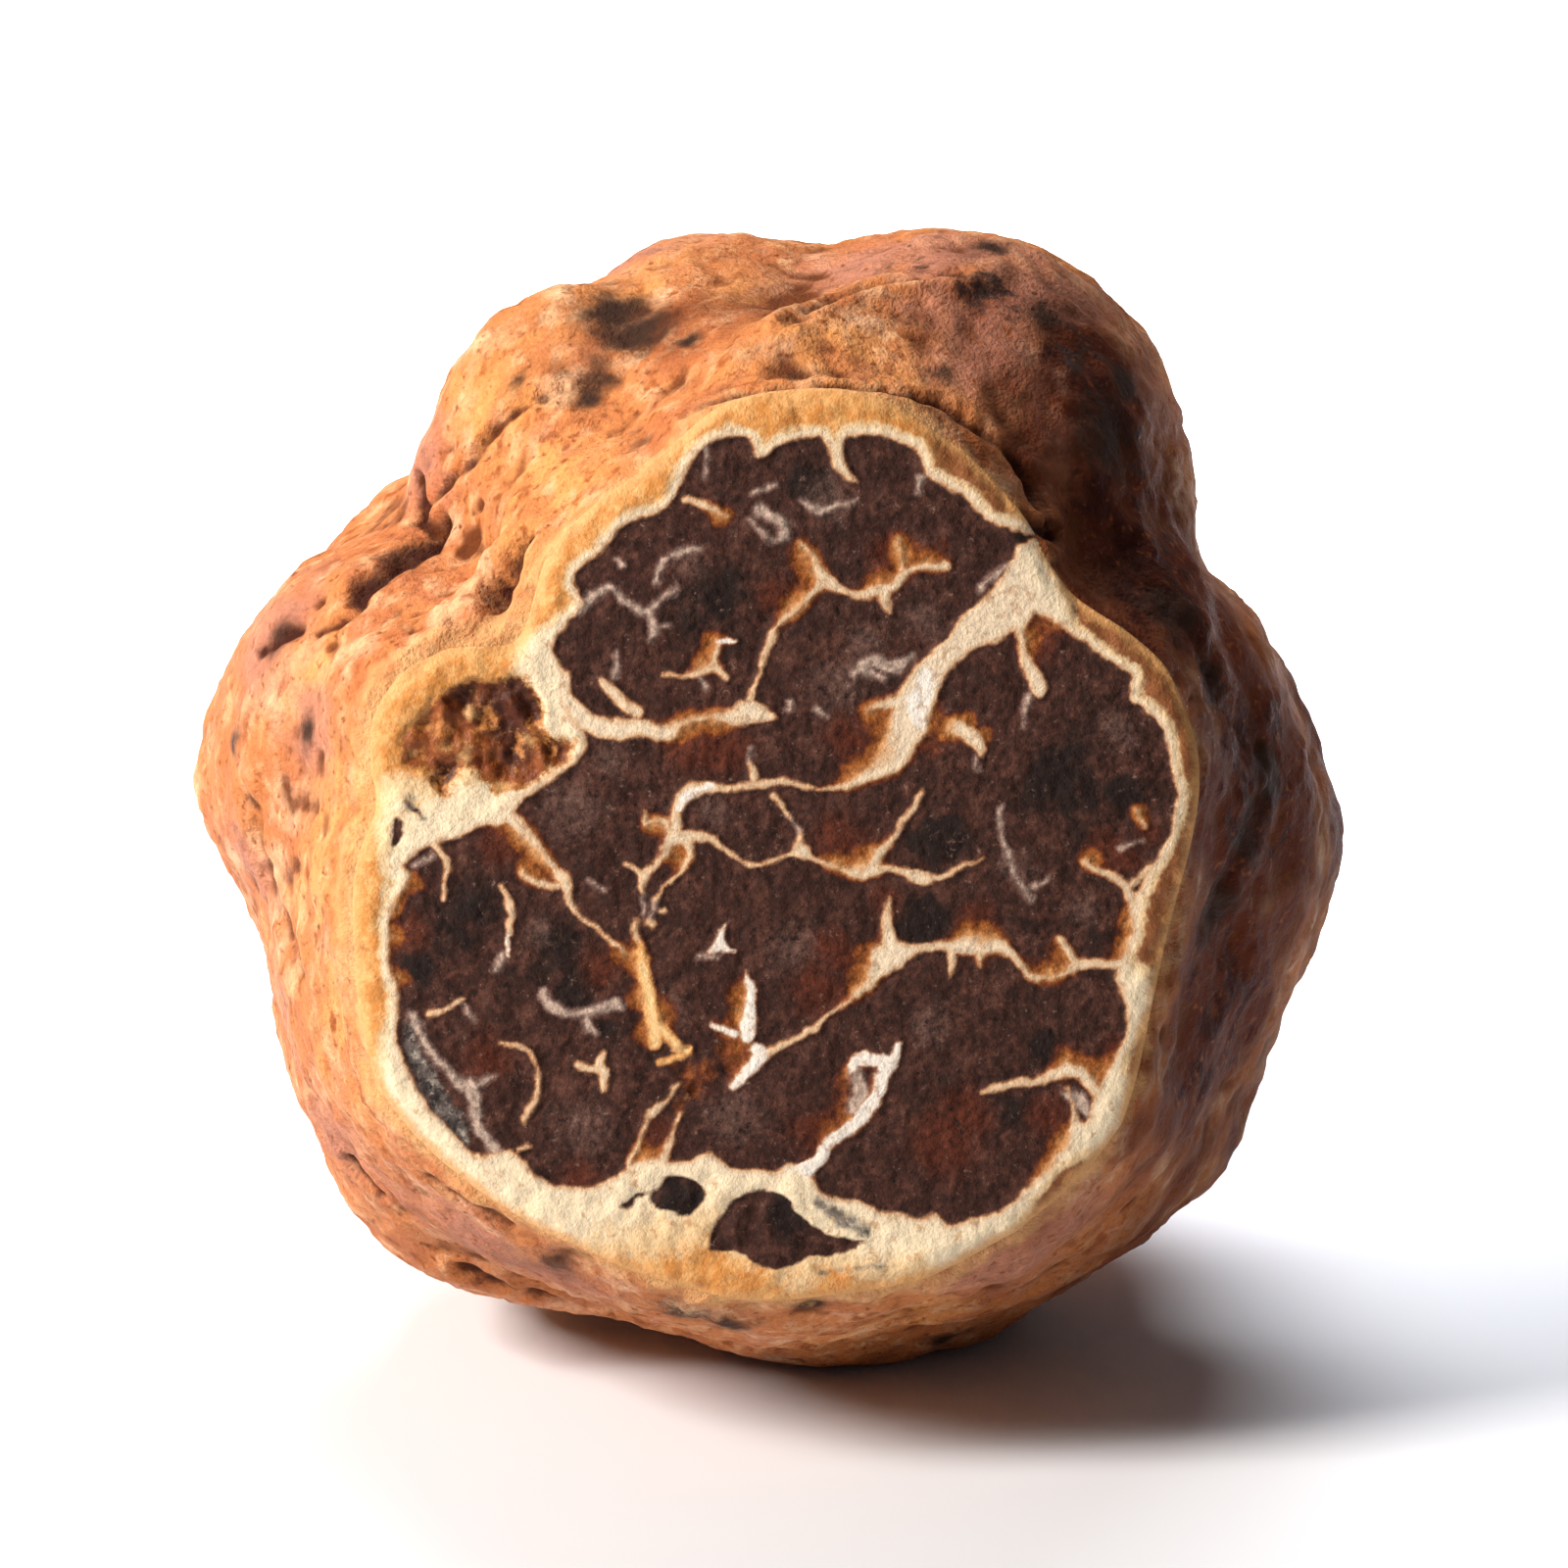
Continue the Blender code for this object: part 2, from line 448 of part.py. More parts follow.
to_world = cut_frame_to_world()
body = truffle_mesh()
slice_off(body, (0.0, 0.0, CUT_DISTANCE), (0.0, 0.0, 1.0))
bmesh.ops.transform(body, verts=body.verts, matrix=to_world)
slice_off(body, (0.0, 0.0, FLAT_SPOT_HEIGHT), (0.0, 0.0, -1.0))
bmesh.ops.recalc_face_normals(body, faces=body.faces)
corners = np.array([v.co for v in body.verts])
middle = (corners.min(axis=0) + corners.max(axis=0)) / 2
placing = Matrix.Scale(MM, 4) @ Matrix.Translation((-middle[0], -middle[1], -FLAT_SPOT_HEIGHT))
bmesh.ops.transform(body, verts=body.verts, matrix=placing)
mesh = bpy.data.meshes.new("truffle")
body.to_mesh(mesh)
body.free()
truffle = new_object("truffle", mesh, parts)

chambers = prism(
    "chambers",
    [smooth_path(o, 1.2, closed=True) for o in (FLESH, SIDE_CHAMBER, SMALL_CHAMBER, LOW_CHAMBER)],
    CUT_DISTANCE - CHAMBER_DEPTH,
    CUT_DISTANCE + 3.0,
    cutters,
)
for number, (name, points) in enumerate(VEINS.items()):
    low = CUT_DISTANCE - 2.0 - 0.02 * number  # no two veins share a level, which keeps the cut clean
    prism("vein_" + name, [vein_outline(points)], low, 2 * CUT_DISTANCE - low, veins)
subtract(chambers, collection=veins)
in_place = Matrix.Translation(placing.to_translation()) @ to_world
chambers.matrix_world = in_place
for vein in veins.objects:
    vein.matrix_world = in_place
subtract(truffle, cutter=chambers)
truffle.data.materials.append(material("truffle skin", (0.62, 0.32, 0.12), 0.6))
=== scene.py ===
import math

import bmesh
import bpy
import numpy as np
from mathutils import Matrix, Vector, noise


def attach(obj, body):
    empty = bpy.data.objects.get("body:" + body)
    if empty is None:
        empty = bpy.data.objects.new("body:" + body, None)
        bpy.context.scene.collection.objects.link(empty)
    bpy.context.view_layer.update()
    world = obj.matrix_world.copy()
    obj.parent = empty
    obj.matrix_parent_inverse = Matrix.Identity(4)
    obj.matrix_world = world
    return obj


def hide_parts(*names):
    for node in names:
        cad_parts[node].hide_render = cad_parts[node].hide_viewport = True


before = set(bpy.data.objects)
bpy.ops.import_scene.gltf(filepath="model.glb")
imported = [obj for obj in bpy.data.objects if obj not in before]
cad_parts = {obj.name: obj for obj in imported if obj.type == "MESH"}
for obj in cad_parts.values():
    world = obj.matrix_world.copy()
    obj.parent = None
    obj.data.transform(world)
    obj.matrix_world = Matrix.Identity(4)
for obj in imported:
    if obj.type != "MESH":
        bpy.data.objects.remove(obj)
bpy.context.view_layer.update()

# ------------------------------------------------------------------------------------------------
# Skin. The truffle's peridium is a thin dry rind that grew over the lobes as one piece: ochre where
# it is clean, mauve-pink where it is rubbed, and brown in the folds, partly soil and partly painted shade.
# Its right side carries painted shade and its brow a painted mauve sheen. It is taken
# from the solid's own surface, rounded off, then wrinkled and pitted in the mesh.

MM = 0.001
CUT_LEAN = math.radians(11.0)  # the sliced end leans back from upright
RIGHT = Vector((1.0, 0.0, 0.0))
UP_THE_CUT = Vector((0.0, math.sin(CUT_LEAN), math.cos(CUT_LEAN)))
OUT_OF_CUT = Vector((0.0, -math.cos(CUT_LEAN), math.sin(CUT_LEAN)))

solid = bmesh.new()
solid.from_mesh(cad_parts["truffle"].data)
bmesh.ops.remove_doubles(solid, verts=solid.verts, dist=1e-6)
bmesh.ops.recalc_face_normals(solid, faces=solid.faces)
cut_level = max(v.co.dot(OUT_OF_CUT) for v in solid.verts)


def lies_on_the_cut(face):
    """Whether the face is part of the knife's plane."""
    return all(cut_level - v.co.dot(OUT_OF_CUT) < 3e-6 for v in face.verts)


# The skin is every face that can be reached from the back without crossing the knife's plane
frontier = [min(solid.faces, key=lambda face: face.calc_center_median().dot(OUT_OF_CUT))]
skin_faces = set(frontier)
while frontier:
    for edge in frontier.pop().edges:
        for face in edge.link_faces:
            if face not in skin_faces and not lies_on_the_cut(face):
                skin_faces.add(face)
                frontier.append(face)

skin_shape = solid.copy()
solid.faces.index_update()
skin_shape.faces.ensure_lookup_table()
kept = {face.index for face in skin_faces}
dropped = [skin_shape.faces[i] for i in range(len(skin_shape.faces)) if i not in kept]
bmesh.ops.delete(skin_shape, geom=dropped, context="FACES")
bmesh.ops.join_triangles(
    skin_shape, faces=skin_shape.faces, angle_face_threshold=0.7, angle_shape_threshold=1.2
)
inner = [v for v in skin_shape.verts if not v.is_boundary]
for turn in range(2):
    bmesh.ops.smooth_vert(
        skin_shape, verts=inner, factor=0.5, use_axis_x=True, use_axis_y=True, use_axis_z=True
    )


def as_mesh(name, shape):
    """The finished shape as a mesh."""
    mesh = bpy.data.meshes.new(name)
    shape.to_mesh(mesh)
    shape.free()
    return mesh


def placed(name, data):
    """A new object in the scene that shows the data."""
    made = bpy.data.objects.new(name, data)
    bpy.context.scene.collection.objects.link(made)
    return made


def with_modifier_applied(mesh, kind, **settings):
    """The mesh after one modifier."""
    holder = placed("holder", mesh)
    modifier = holder.modifiers.new("step", kind)
    for name, value in settings.items():
        setattr(modifier, name, value)
    graph = bpy.context.evaluated_depsgraph_get()
    made = bpy.data.meshes.new_from_object(holder.evaluated_get(graph))
    bpy.data.objects.remove(holder)
    bpy.data.meshes.remove(mesh)
    return made


skin_mesh = with_modifier_applied(as_mesh("skin", skin_shape), "SUBSURF", levels=2, render_levels=2)
skin_mesh.name = "skin"
rounded = bmesh.new()
rounded.from_mesh(skin_mesh)
rim_points = [v.co.copy() for v in rounded.verts if v.is_boundary]
low = [min(p.dot(axis) for p in rim_points) for axis in (RIGHT, UP_THE_CUT)]
high = [max(p.dot(axis) for p in rim_points) for axis in (RIGHT, UP_THE_CUT)]
cut_middle = (
    RIGHT * (low[0] + high[0]) / 2 + UP_THE_CUT * (low[1] + high[1]) / 2 + OUT_OF_CUT * cut_level
)
# The cut's own frame: a to the right, b up the face, c out of it, in millimetres from its middle
cut_frame = Matrix((RIGHT, UP_THE_CUT, OUT_OF_CUT)).transposed().to_4x4()
cut_frame = Matrix.Translation(cut_middle) @ cut_frame @ Matrix.Scale(MM, 4)
to_cut_frame = cut_frame.inverted()

# Creases and scars: points (a, b, c), half width, depth, and how dark it is painted there, partly soil and
# partly painted shade in the crease
CREASES = {
    "over_the_lip": (
        [
            (-4.6, 20.0, -1.0), (-2.7, 20.8, -0.8), (1.5, 21.2, -0.3), (5.6, 20.8, -1.2), (7.4, 19.9, -2.0),
            (10.9, 17.3, -2.5), (12.4, 14.8, -1.6),
        ],
        0.38, 0.45, 0.85,
    ),
    "under_the_crest": (
        [(0.4, 23.8, -4.0), (2.6, 24.6, -7.1), (4.5, 25.1, -8.3), (7.2, 25.8, -8.5), (8.6, 25.9, -9.0)],
        0.40, 0.50, 0.75,
    ),
    "round_the_knob": (
        [(-16.6, 13.7, -12.6), (-16.3, 14.4, -12.4), (-14.3, 16.9, -9.3), (-13.4, 18.2, -9.0),
         (-12.3, 19.1, -8.7), (-10.6, 19.8, -8.3)],
        0.34, 0.38, 0.6,
    ),
    "behind_the_knob": ([(-16.8, 15.4, -13.4), (-16.6, 13.7, -12.6), (-15.4, 13.3, -10.7)], 0.55, 0.45, 0.8),
    "shoulder_scar": (
        [(-19.2, 11.1, -7.2), (-18.0, 12.0, -7.8), (-17.0, 12.7, -8.8), (-15.4, 13.3, -10.4)],
        0.8, 0.75, 1.0,
    ),
    "beside_the_ridge": (
        [(-11.4, 14.0, -1.8), (-12.0, 12.4, -1.7), (-12.4, 10.9, -1.4), (-13.0, 9.4, -0.9),
         (-15.2, 7.9, -0.5)],
        0.50, 0.55, 0.65,
    ),
    "ridge_hollow": ([(-12.5, 11.8, -1.9), (-12.8, 11.1, -2.0)], 0.55, 0.6, 0.9),
    "left_groove": (
        [(-24.4, 0.6, -9.9), (-24.2, -1.2, -10.4), (-23.5, -3.1, -10.3), (-22.9, -4.6, -8.9),
         (-21.8, -6.5, -6.0)],
        0.7, 0.35, 0.35,
    ),
    "shoulder_stroke": ([(-23.9, 7.9, -10.6), (-22.4, 9.1, -8.8)], 0.42, 0.30, 0.9),
    "shoulder_line": ([(-21.2, 9.1, -7.4), (-19.9, 9.9, -6.5), (-19.1, 10.6, -6.2)], 0.32, 0.28, 0.6),
    "low_slit": ([(-19.9, -16.2, -10.6), (-18.4, -17.5, -10.6)], 0.36, 0.45, 0.8),
    "low_fold": ([(-14.6, -21.8, -13.0), (-12.8, -22.6, -13.4), (-9.0, -24.0, -13.5)], 0.5, 0.4, 0.6),
    "rust_stroke": ([(-16.2, -15.6, -2.0), (-14.4, -16.6, -1.6), (-12.4, -17.6, -1.4)], 0.45, 0.20, 0.55),
    "over_the_foot": (
        [(-9.0, -22.6, -8.0), (-4.6, -24.6, -11.5), (-1.7, -24.6, -9.4), (0.6, -25.6, -12.0)], 0.6, 0.5, 0.7,
    ),
    "rim_notch": ([(11.4, 14.9, 0.0), (12.0, 14.6, -0.4), (12.6, 14.2, -1.5)], 0.42, 0.7, 1.0),
    "right_valley": (
        [(16.3, 12.4, -5.1), (17.9, 10.3, -4.4), (20.1, 6.7, -4.6), (22.4, 3.4, -8.2), (21.8, 0.0, -7.0),
         (20.1, -3.2, -5.9), (21.2, -6.4, -8.9)],
        0.9, 0.35, 0.45,
    ),
    "back_seam": (
        [(-9.0, 9.0, -41.0), (-3.0, 6.0, -44.0), (4.0, 6.5, -44.0), (9.0, 10.0, -41.0)],
        0.7, 0.55, 0.7,
    ),
    "back_branch": ([(-3.0, 6.0, -44.0), (-6.5, -1.0, -43.0), (-5.0, -9.0, -41.0)], 0.55, 0.45, 0.6),
    "cheek_crease": ([(19.0, 9.0, -26.0), (21.0, 2.0, -27.0), (20.0, -6.0, -28.0)], 0.6, 0.45, 0.6),
    "far_shoulder": ([(-17.0, 13.0, -22.0), (-20.5, 6.0, -25.0), (-21.0, -2.0, -26.0)], 0.6, 0.45, 0.6),
}
# Ridges: points, half width and rise
RIDGES = {
    "scurfy_ridge": (
        [(-12.6, 13.6, -3.0), (-13.8, 11.3, -3.6), (-14.9, 9.8, -1.9), (-16.4, 7.6, -0.9)],
        1.1, 0.45,
    ),
    "crest": ([(3.4, 24.4, -6.4), (5.4, 24.9, -7.7), (6.9, 25.2, -8.1), (8.9, 25.3, -8.5)], 0.55, 0.38),
    "knob_fold": ([(-11.6, 18.0, -7.2), (-9.8, 18.9, -7.0), (-8.6, 18.8, -6.8)], 0.8, 0.30),
}
# Where the skin wrinkles, where it is scurfy, and where it is drawn into fine upright ribs: a, b, c
# and radius
WRINKLED = ((14.4, 22.4, -10.0, 4.5), (17.0, 18.0, -12.0, 5.0), (12.0, 25.0, -12.5, 4.0))
SCURFY = (
    (-13.8, 11.3, -3.4, 1.5), (-14.9, 9.8, -1.9, 1.4), (-16.0, 8.2, -1.0, 1.5), (-10.0, 20.0, -8.4, 1.2),
    (-6.6, 21.6, -8.4, 1.0), (-14.4, 10.4, -2.6, 1.8), (-13.0, 12.8, -3.2, 1.3), (-4.0, -21.6, -1.8, 1.8),
)
RIBBED = ((-23.0, -2.0, -7.0, 6.0), (-20.0, -9.0, -6.0, 6.0), (-21.5, 4.0, -7.0, 4.0))

# Sizes of the relief, in millimetres. Lumps and flakes: how long each form is and how far it stands
LUMPS = ((6.0, 0.40), (2.6, 0.28), (1.1, 0.16), (0.55, 0.08))
FLAKES = ((0.7, 0.22), (0.33, 0.12))
WRINKLE_PITCH = 1.3
WRINKLE_HEIGHT = 0.11
RIB_PITCH = 1.1
RIB_HEIGHT = 0.05
CRACK_SPACING = 2.2
CRACK_DEPTH = 0.13
PIT_SPACING = 4.6
PIT_RADIUS = 0.45
PIT_DEPTH = 0.26
CREASE_LIP = 0.22  # the rise beside a crease, as a share of its depth
CREASE_STRAY = 0.55  # how far a crease's edges stray, in half widths
RIM_WIDTH = 1.1  # the knife's edge has dried and worn round over this much


def worn_edge(a, b):
    """How far the rim has shrunk back below the cut at (a, b)."""
    return 0.30 + 0.16 * noise.noise(Vector((a, b, 0.0)) / 1.6)


def from_line(spots, points):
    """Each spot's distance to a line through the points."""
    points = np.array(points, float)
    best = np.full(len(spots), 1e9)
    for start, end in zip(points[:-1], points[1:]):
        side = end - start
        along = np.clip((spots - start) @ side / (side @ side), 0.0, 1.0)[:, None]
        best = np.minimum(best, np.linalg.norm(spots - start - along * side, axis=1))
    return best


def closeness(spots, places):
    """How close each spot is to any of the places (a, b, c, radius), from 0 to 1."""
    best = np.zeros(len(spots))
    for *middle, radius in places:
        away = np.linalg.norm(spots - np.array(middle), axis=1) / radius
        best = np.maximum(best, np.exp(-(away**2)))
    return best


def in_cut_frame(vertices):
    """The vertices' places in the cut's own frame."""
    return np.array([to_cut_frame @ v.co for v in vertices])


# A finer mesh along the creases, where the forms are less than a millimetre wide
middles = np.array([to_cut_frame @ f.calc_center_median() for f in rounded.faces])
near_crease = np.full(len(middles), 1e9)
for points, half_width, *rest in (*CREASES.values(), *RIDGES.values()):
    near_crease = np.minimum(near_crease, from_line(middles, points) / max(half_width * 2.4, 1.0))
near_crease = np.minimum(near_crease, 1.35 - closeness(middles, SCURFY))
rounded.faces.ensure_lookup_table()
fine_edges = {e for f, away in zip(rounded.faces, near_crease) if away < 1.0 for e in f.edges}
fine_edges = [e for e in fine_edges if not e.is_boundary]
bmesh.ops.subdivide_edges(rounded, edges=fine_edges, cuts=1, use_grid_fill=True, smooth=0.0)

spots = in_cut_frame(rounded.verts)
rounded.normal_update()
wrinkled, scurfy, ribbed = (closeness(spots, places) for places in (WRINKLED, SCURFY, RIBBED))
rise = np.zeros(len(spots))
soil_and_crease_shade = np.zeros(len(spots))
for points, half_width, depth, darkness in CREASES.values():
    away = from_line(spots, points) / half_width
    ragged = np.array([noise.noise(Vector(p) / 0.9) for p in spots]) * CREASE_STRAY
    away = np.maximum(away + ragged, 0.0)
    rise -= depth * np.exp(-(away**2))
    rise += CREASE_LIP * depth * np.exp(-((away - 2.0) ** 2))
    soil_and_crease_shade = np.maximum(soil_and_crease_shade, darkness * np.exp(-((away / 1.15) ** 2)))
for points, half_width, height in RIDGES.values():
    rise += height * np.exp(-((from_line(spots, points) / half_width) ** 2))
for number, here in enumerate(map(Vector, spots)):
    lump = 0.0
    for length, height in LUMPS:
        lump += height * noise.noise(here / length + Vector((3.1, 7.7, 1.3)) * length)
    wander = noise.noise(here / 5.0) * 1.4 + noise.noise(here / 1.7) * 0.25
    lump += WRINKLE_HEIGHT * wrinkled[number] * math.sin(
        math.tau * ((0.6 * here.x + 0.8 * here.y) / WRINKLE_PITCH + wander)
    )
    lump += RIB_HEIGHT * ribbed[number] * math.sin(
        math.tau * ((here.x - 0.4 * here.z) / RIB_PITCH + wander * 1.5)
    )
    cracked = 1.0 - abs(noise.noise(here / CRACK_SPACING + Vector((11.0, 3.0, 5.0)))) * 4.0
    lump -= CRACK_DEPTH * max(cracked, 0.0) ** 2 * (0.35 + scurfy[number])
    for length, height in FLAKES:
        lump += scurfy[number] * height * noise.noise(here / length)
    pit = noise.voronoi(here / PIT_SPACING)[0][0] * PIT_SPACING + 0.5 * noise.noise(here / 0.8)
    lump -= PIT_DEPTH * math.exp(-((max(pit, 0.0) / PIT_RADIUS) ** 2))
    rise[number] += lump
for vertex, up, (a, b, c) in zip(rounded.verts, rise, spots):
    on_the_ground = min(max((vertex.co.z / MM) / 1.2, 0.0), 1.0)
    if not vertex.is_boundary:
        vertex.co += vertex.normal * (up * MM * min(max(-c / 0.6, 0.0), 1.0) * on_the_ground)
    vertex.co -= OUT_OF_CUT * (worn_edge(a, b) * MM * max(1.0 + c / RIM_WIDTH, 0.0) ** 2)

# How hollow the skin is at each point: above its neighbours' average is a crest, below it a fold. The colour
# uses it for painted shade in the folds and a paler painted highlight on the crests
co = np.array([v.co for v in rounded.verts])
rounded.verts.index_update()
ends = np.array([(e.verts[0].index, e.verts[1].index) for e in rounded.edges])
links = np.bincount(ends.ravel(), minlength=len(co))[:, None]
rounded.normal_update()
normals = np.array([v.normal for v in rounded.verts])


def spread(values, turns):
    """The values after each has been averaged with its neighbours a number of times."""
    for turn in range(turns):
        total = np.zeros_like(values)
        for column in range(values.shape[1]):
            total[:, column] += np.bincount(ends[:, 0], values[ends[:, 1], column], len(values))
            total[:, column] += np.bincount(ends[:, 1], values[ends[:, 0], column], len(values))
        values = 0.5 * values + 0.5 * total / links
    return values


hollow_small = ((spread(co, 10) - co) * normals).sum(axis=1) / MM
hollow_large = ((spread(co, 90) - co) * normals).sum(axis=1) / MM
hollow = spread((hollow_small * 5.0 + hollow_large * 1.1)[:, None], 2)[:, 0]

# Where the skin is rubbed mauve-pink, and where a mauve painted sheen lies over the painted shade on the
# brow; where it is clean and golden; and where it is stained dark, with painted shade along the right valley
BLUSH_AND_SHEEN = (
    (-23.2, 8.6, -10.5, 3.5), (-21.0, 4.6, -5.4, 2.6), (-24.6, -2.0, -12.0, 2.4), (-22.0, -9.0, -12.0, 3.0),
    (-20.0, -15.0, -9.5, 3.2), (-14.0, -19.0, -6.0, 4.0), (-10.3, -20.5, -4.0, 2.6), (4.0, 26.4, -13.0, 4.0),
    (8.5, 26.0, -12.0, 4.0), (13.0, 24.0, -11.0, 4.5), (17.0, 19.0, -12.5, 3.5), (20.5, 11.0, -12.0, 2.5),
    (12.0, -20.5, -3.0, 5.0), (9.5, 22.5, -6.0, 4.0), (13.5, 19.5, -6.0, 4.0), (20.5, 9.0, -6.5, 2.6),
    (-16.4, 16.5, -13.5, 2.4), (2.0, 2.0, -45.0, 9.0), (-18.0, -6.0, -32.0, 9.0), (14.0, -14.0, -32.0, 8.0),
    (-6.0, 24.0, -20.0, 4.0), (20.0, 8.0, -26.0, 6.0),
)
GOLD = (
    (-12.5, 19.5, -9.5, 4.0), (-10.0, 15.5, -4.0, 4.5), (2.0, 22.6, -2.8, 3.2), (7.0, 22.4, -4.6, 3.0),
    (-21.3, 7.6, -6.6, 2.2), (-19.5, 1.6, -1.8, 3.6), (-20.8, -3.5, -3.2, 4.2), (-19.0, -9.5, -3.0, 3.4),
    (5.7, -23.3, -7.7, 3.6), (-6.0, 22.5, -16.0, 4.0), (6.0, 12.0, -40.0, 8.0), (-14.0, 8.0, -34.0, 7.0),
    (18.0, -4.0, -36.0, 7.0), (-2.0, -22.0, -28.0, 8.0), (-1.0, 24.6, -12.0, 2.4), (10.0, 15.0, -38.0, 6.0),
)
# Dark stains; the ones along the right valley are painted shade
STAINED_AND_SHADED = (
    (-7.4, 23.7, -11.7, 2.2), (-6.3, 22.9, -10.2, 2.0), (-8.4, 20.5, -8.4, 1.5), (-8.5, 19.6, -7.8, 1.0),
    (-3.9, 22.5, -7.6, 0.8), (-12.0, 20.6, -9.5, 0.6), (-17.4, 12.5, -8.6, 1.4), (-18.6, 11.6, -7.6, 1.2),
    (-16.4, 12.9, -9.6, 1.2), (-23.0, 8.6, -9.6, 1.0),
    (-21.6, 4.8, -5.7, 0.9), (-4.2, -22.0, -2.4, 1.8), (-2.4, -22.6, -3.0, 1.4), (1.5, -21.2, -1.2, 1.0),
    (7.6, 21.1, -3.7, 0.8), (0.8, 21.7, -1.9, 0.5), (10.0, 26.6, -12.7, 1.3), (12.4, 23.7, -8.6, 1.1),
    (15.4, 18.4, -6.8, 2.2), (16.2, 20.5, -9.3, 1.2), (22.6, 2.6, -8.5, 1.8), (21.8, 0.0, -6.8, 2.0),
    (20.4, -3.4, -5.9, 1.8), (17.9, 10.3, -4.2, 1.9), (19.8, 7.0, -4.6, 1.6), (8.0, -25.4, -14.7, 1.2),
    (5.0, 6.0, -43.0, 3.0), (-9.0, -6.0, -40.0, 2.5), (16.0, 2.0, -38.0, 2.5), (-19.0, 4.0, -28.0, 2.0),
    (-25.1, 3.6, -10.6, 0.7), (-18.6, -6.4, -0.6, 0.35), (-10.3, -19.7, -2.6, 1.0),
)
# The brow is streaked a smoky grey-brown
SMOKY = (
    (6.0, 25.5, -11.0, 3.0), (10.0, 24.5, -8.5, 3.5), (13.5, 21.5, -8.0, 4.0), (16.0, 17.5, -8.0, 4.0),
    (18.5, 12.5, -8.0, 3.5),
)
# Painted shade: the right side, turned from the key lamp, and the dip between the knob and the brow are
# painted darker and browner
PAINTED_SHADE = (
    (17.0, 13.0, -5.0, 9.0), (22.0, 2.0, -8.0, 10.0), (21.0, -9.0, -8.0, 9.0), (14.0, 20.0, -8.0, 5.5),
    (-2.5, 28.5, -9.0, 4.8), (-6.2, 25.0, -8.0, 3.2), (20.0, 0.0, -22.0, 10.0), (15.0, -14.0, -20.0, 10.0),
)
spots = in_cut_frame(rounded.verts)
marks = {
    "hollow": hollow,
    "soil_and_crease_shade": soil_and_crease_shade,
    "blush_and_sheen": closeness(spots, BLUSH_AND_SHEEN),
    "gold": closeness(spots, GOLD),
    "stain_and_shade": closeness(spots, STAINED_AND_SHADED),
    "smoky": closeness(spots, SMOKY),
    "scurf": scurfy,
    "painted_shade": closeness(spots, PAINTED_SHADE),
    "to_rim": -spots[:, 2],
}


def keep_on(shape, values):
    """Keeps the named values on the shape's vertices, for its material."""
    for name, column in values.items():
        layer = shape.verts.layers.float.new(name)
        for vertex, value in zip(shape.verts, column):
            vertex[layer] = value


keep_on(rounded, marks)
for face in rounded.faces:
    face.smooth = True
rounded.to_mesh(skin_mesh)
rim_links = {}
for edge in rounded.edges:
    if edge.is_boundary:
        first, second = edge.verts
        rim_links.setdefault(first.index, []).append(second.index)
        rim_links.setdefault(second.index, []).append(first.index)
rim_order = [next(iter(rim_links))]
while len(rim_order) < len(rim_links):
    ahead = [i for i in rim_links[rim_order[-1]] if i not in rim_order[-2:]]
    rim_order.append(ahead[0])
rim = spots[rim_order][:, :2]
rounded.free()
skin = placed("skin", skin_mesh)


def linear(hex_colour):
    """A hex sRGB colour as linear RGBA."""
    parts = [int(hex_colour[i : i + 2], 16) / 255 for i in (1, 3, 5)]
    return (*[c / 12.92 if c <= 0.04045 else ((c + 0.055) / 1.055) ** 2.4 for c in parts], 1.0)


def add(tree, kind, inputs=None, out=0, **settings):
    """Adds a shader node and gives its output: an input is linked when it is a socket, or else set."""
    made = tree.nodes.new("ShaderNode" + kind)
    for name, value in settings.items():
        setattr(made, name, value)
    for key, value in (inputs or {}).items():
        if isinstance(value, bpy.types.NodeSocket):
            tree.links.new(value, made.inputs[key])
        else:
            made.inputs[key].default_value = value
    return made.outputs[out]


def new_material(name):
    """An empty material, its node tree, and each point's place on the finished piece in millimetres."""
    material = bpy.data.materials.new(name)
    material.use_nodes = True
    tree = material.node_tree
    tree.nodes.clear()
    place = add(tree, "TexCoord", out="Object")
    return material, tree, add(tree, "Mapping", {"Vector": place, "Scale": (1 / MM, 1 / MM, 1 / MM)})


def cover(piece, material, shader):
    """Ends the material with the shader and puts it on the piece."""
    surface = material.node_tree.nodes.new("ShaderNodeOutputMaterial")
    material.node_tree.links.new(shader, surface.inputs["Surface"])
    piece.data.materials.clear()
    piece.data.materials.append(material)


FACTOR, UNDER, OVER, MIXED = 0, 6, 7, 2  # a colour mix's sockets

# Dry peridium: matt with a faint waxy gloss, grained at a quarter of a millimetre
peridium, tree, in_mm = new_material("dry truffle peridium")
masks = {
    name: add(tree, "Attribute", attribute_name=name, out="Fac")
    for name in marks
}
upright = add(tree, "Mapping", {"Vector": in_mm, "Scale": (1.0, 1.0, 0.5)})
colour = linear("#bd7145")
# The brow's dark strokes run down to the right along it
turned = add(tree, "Mapping", {"Vector": in_mm, "Rotation": (0.0, math.radians(-35.0), 0.0)})
slanting = add(tree, "Mapping", {"Vector": turned, "Scale": (0.35, 1.0, 1.0)})
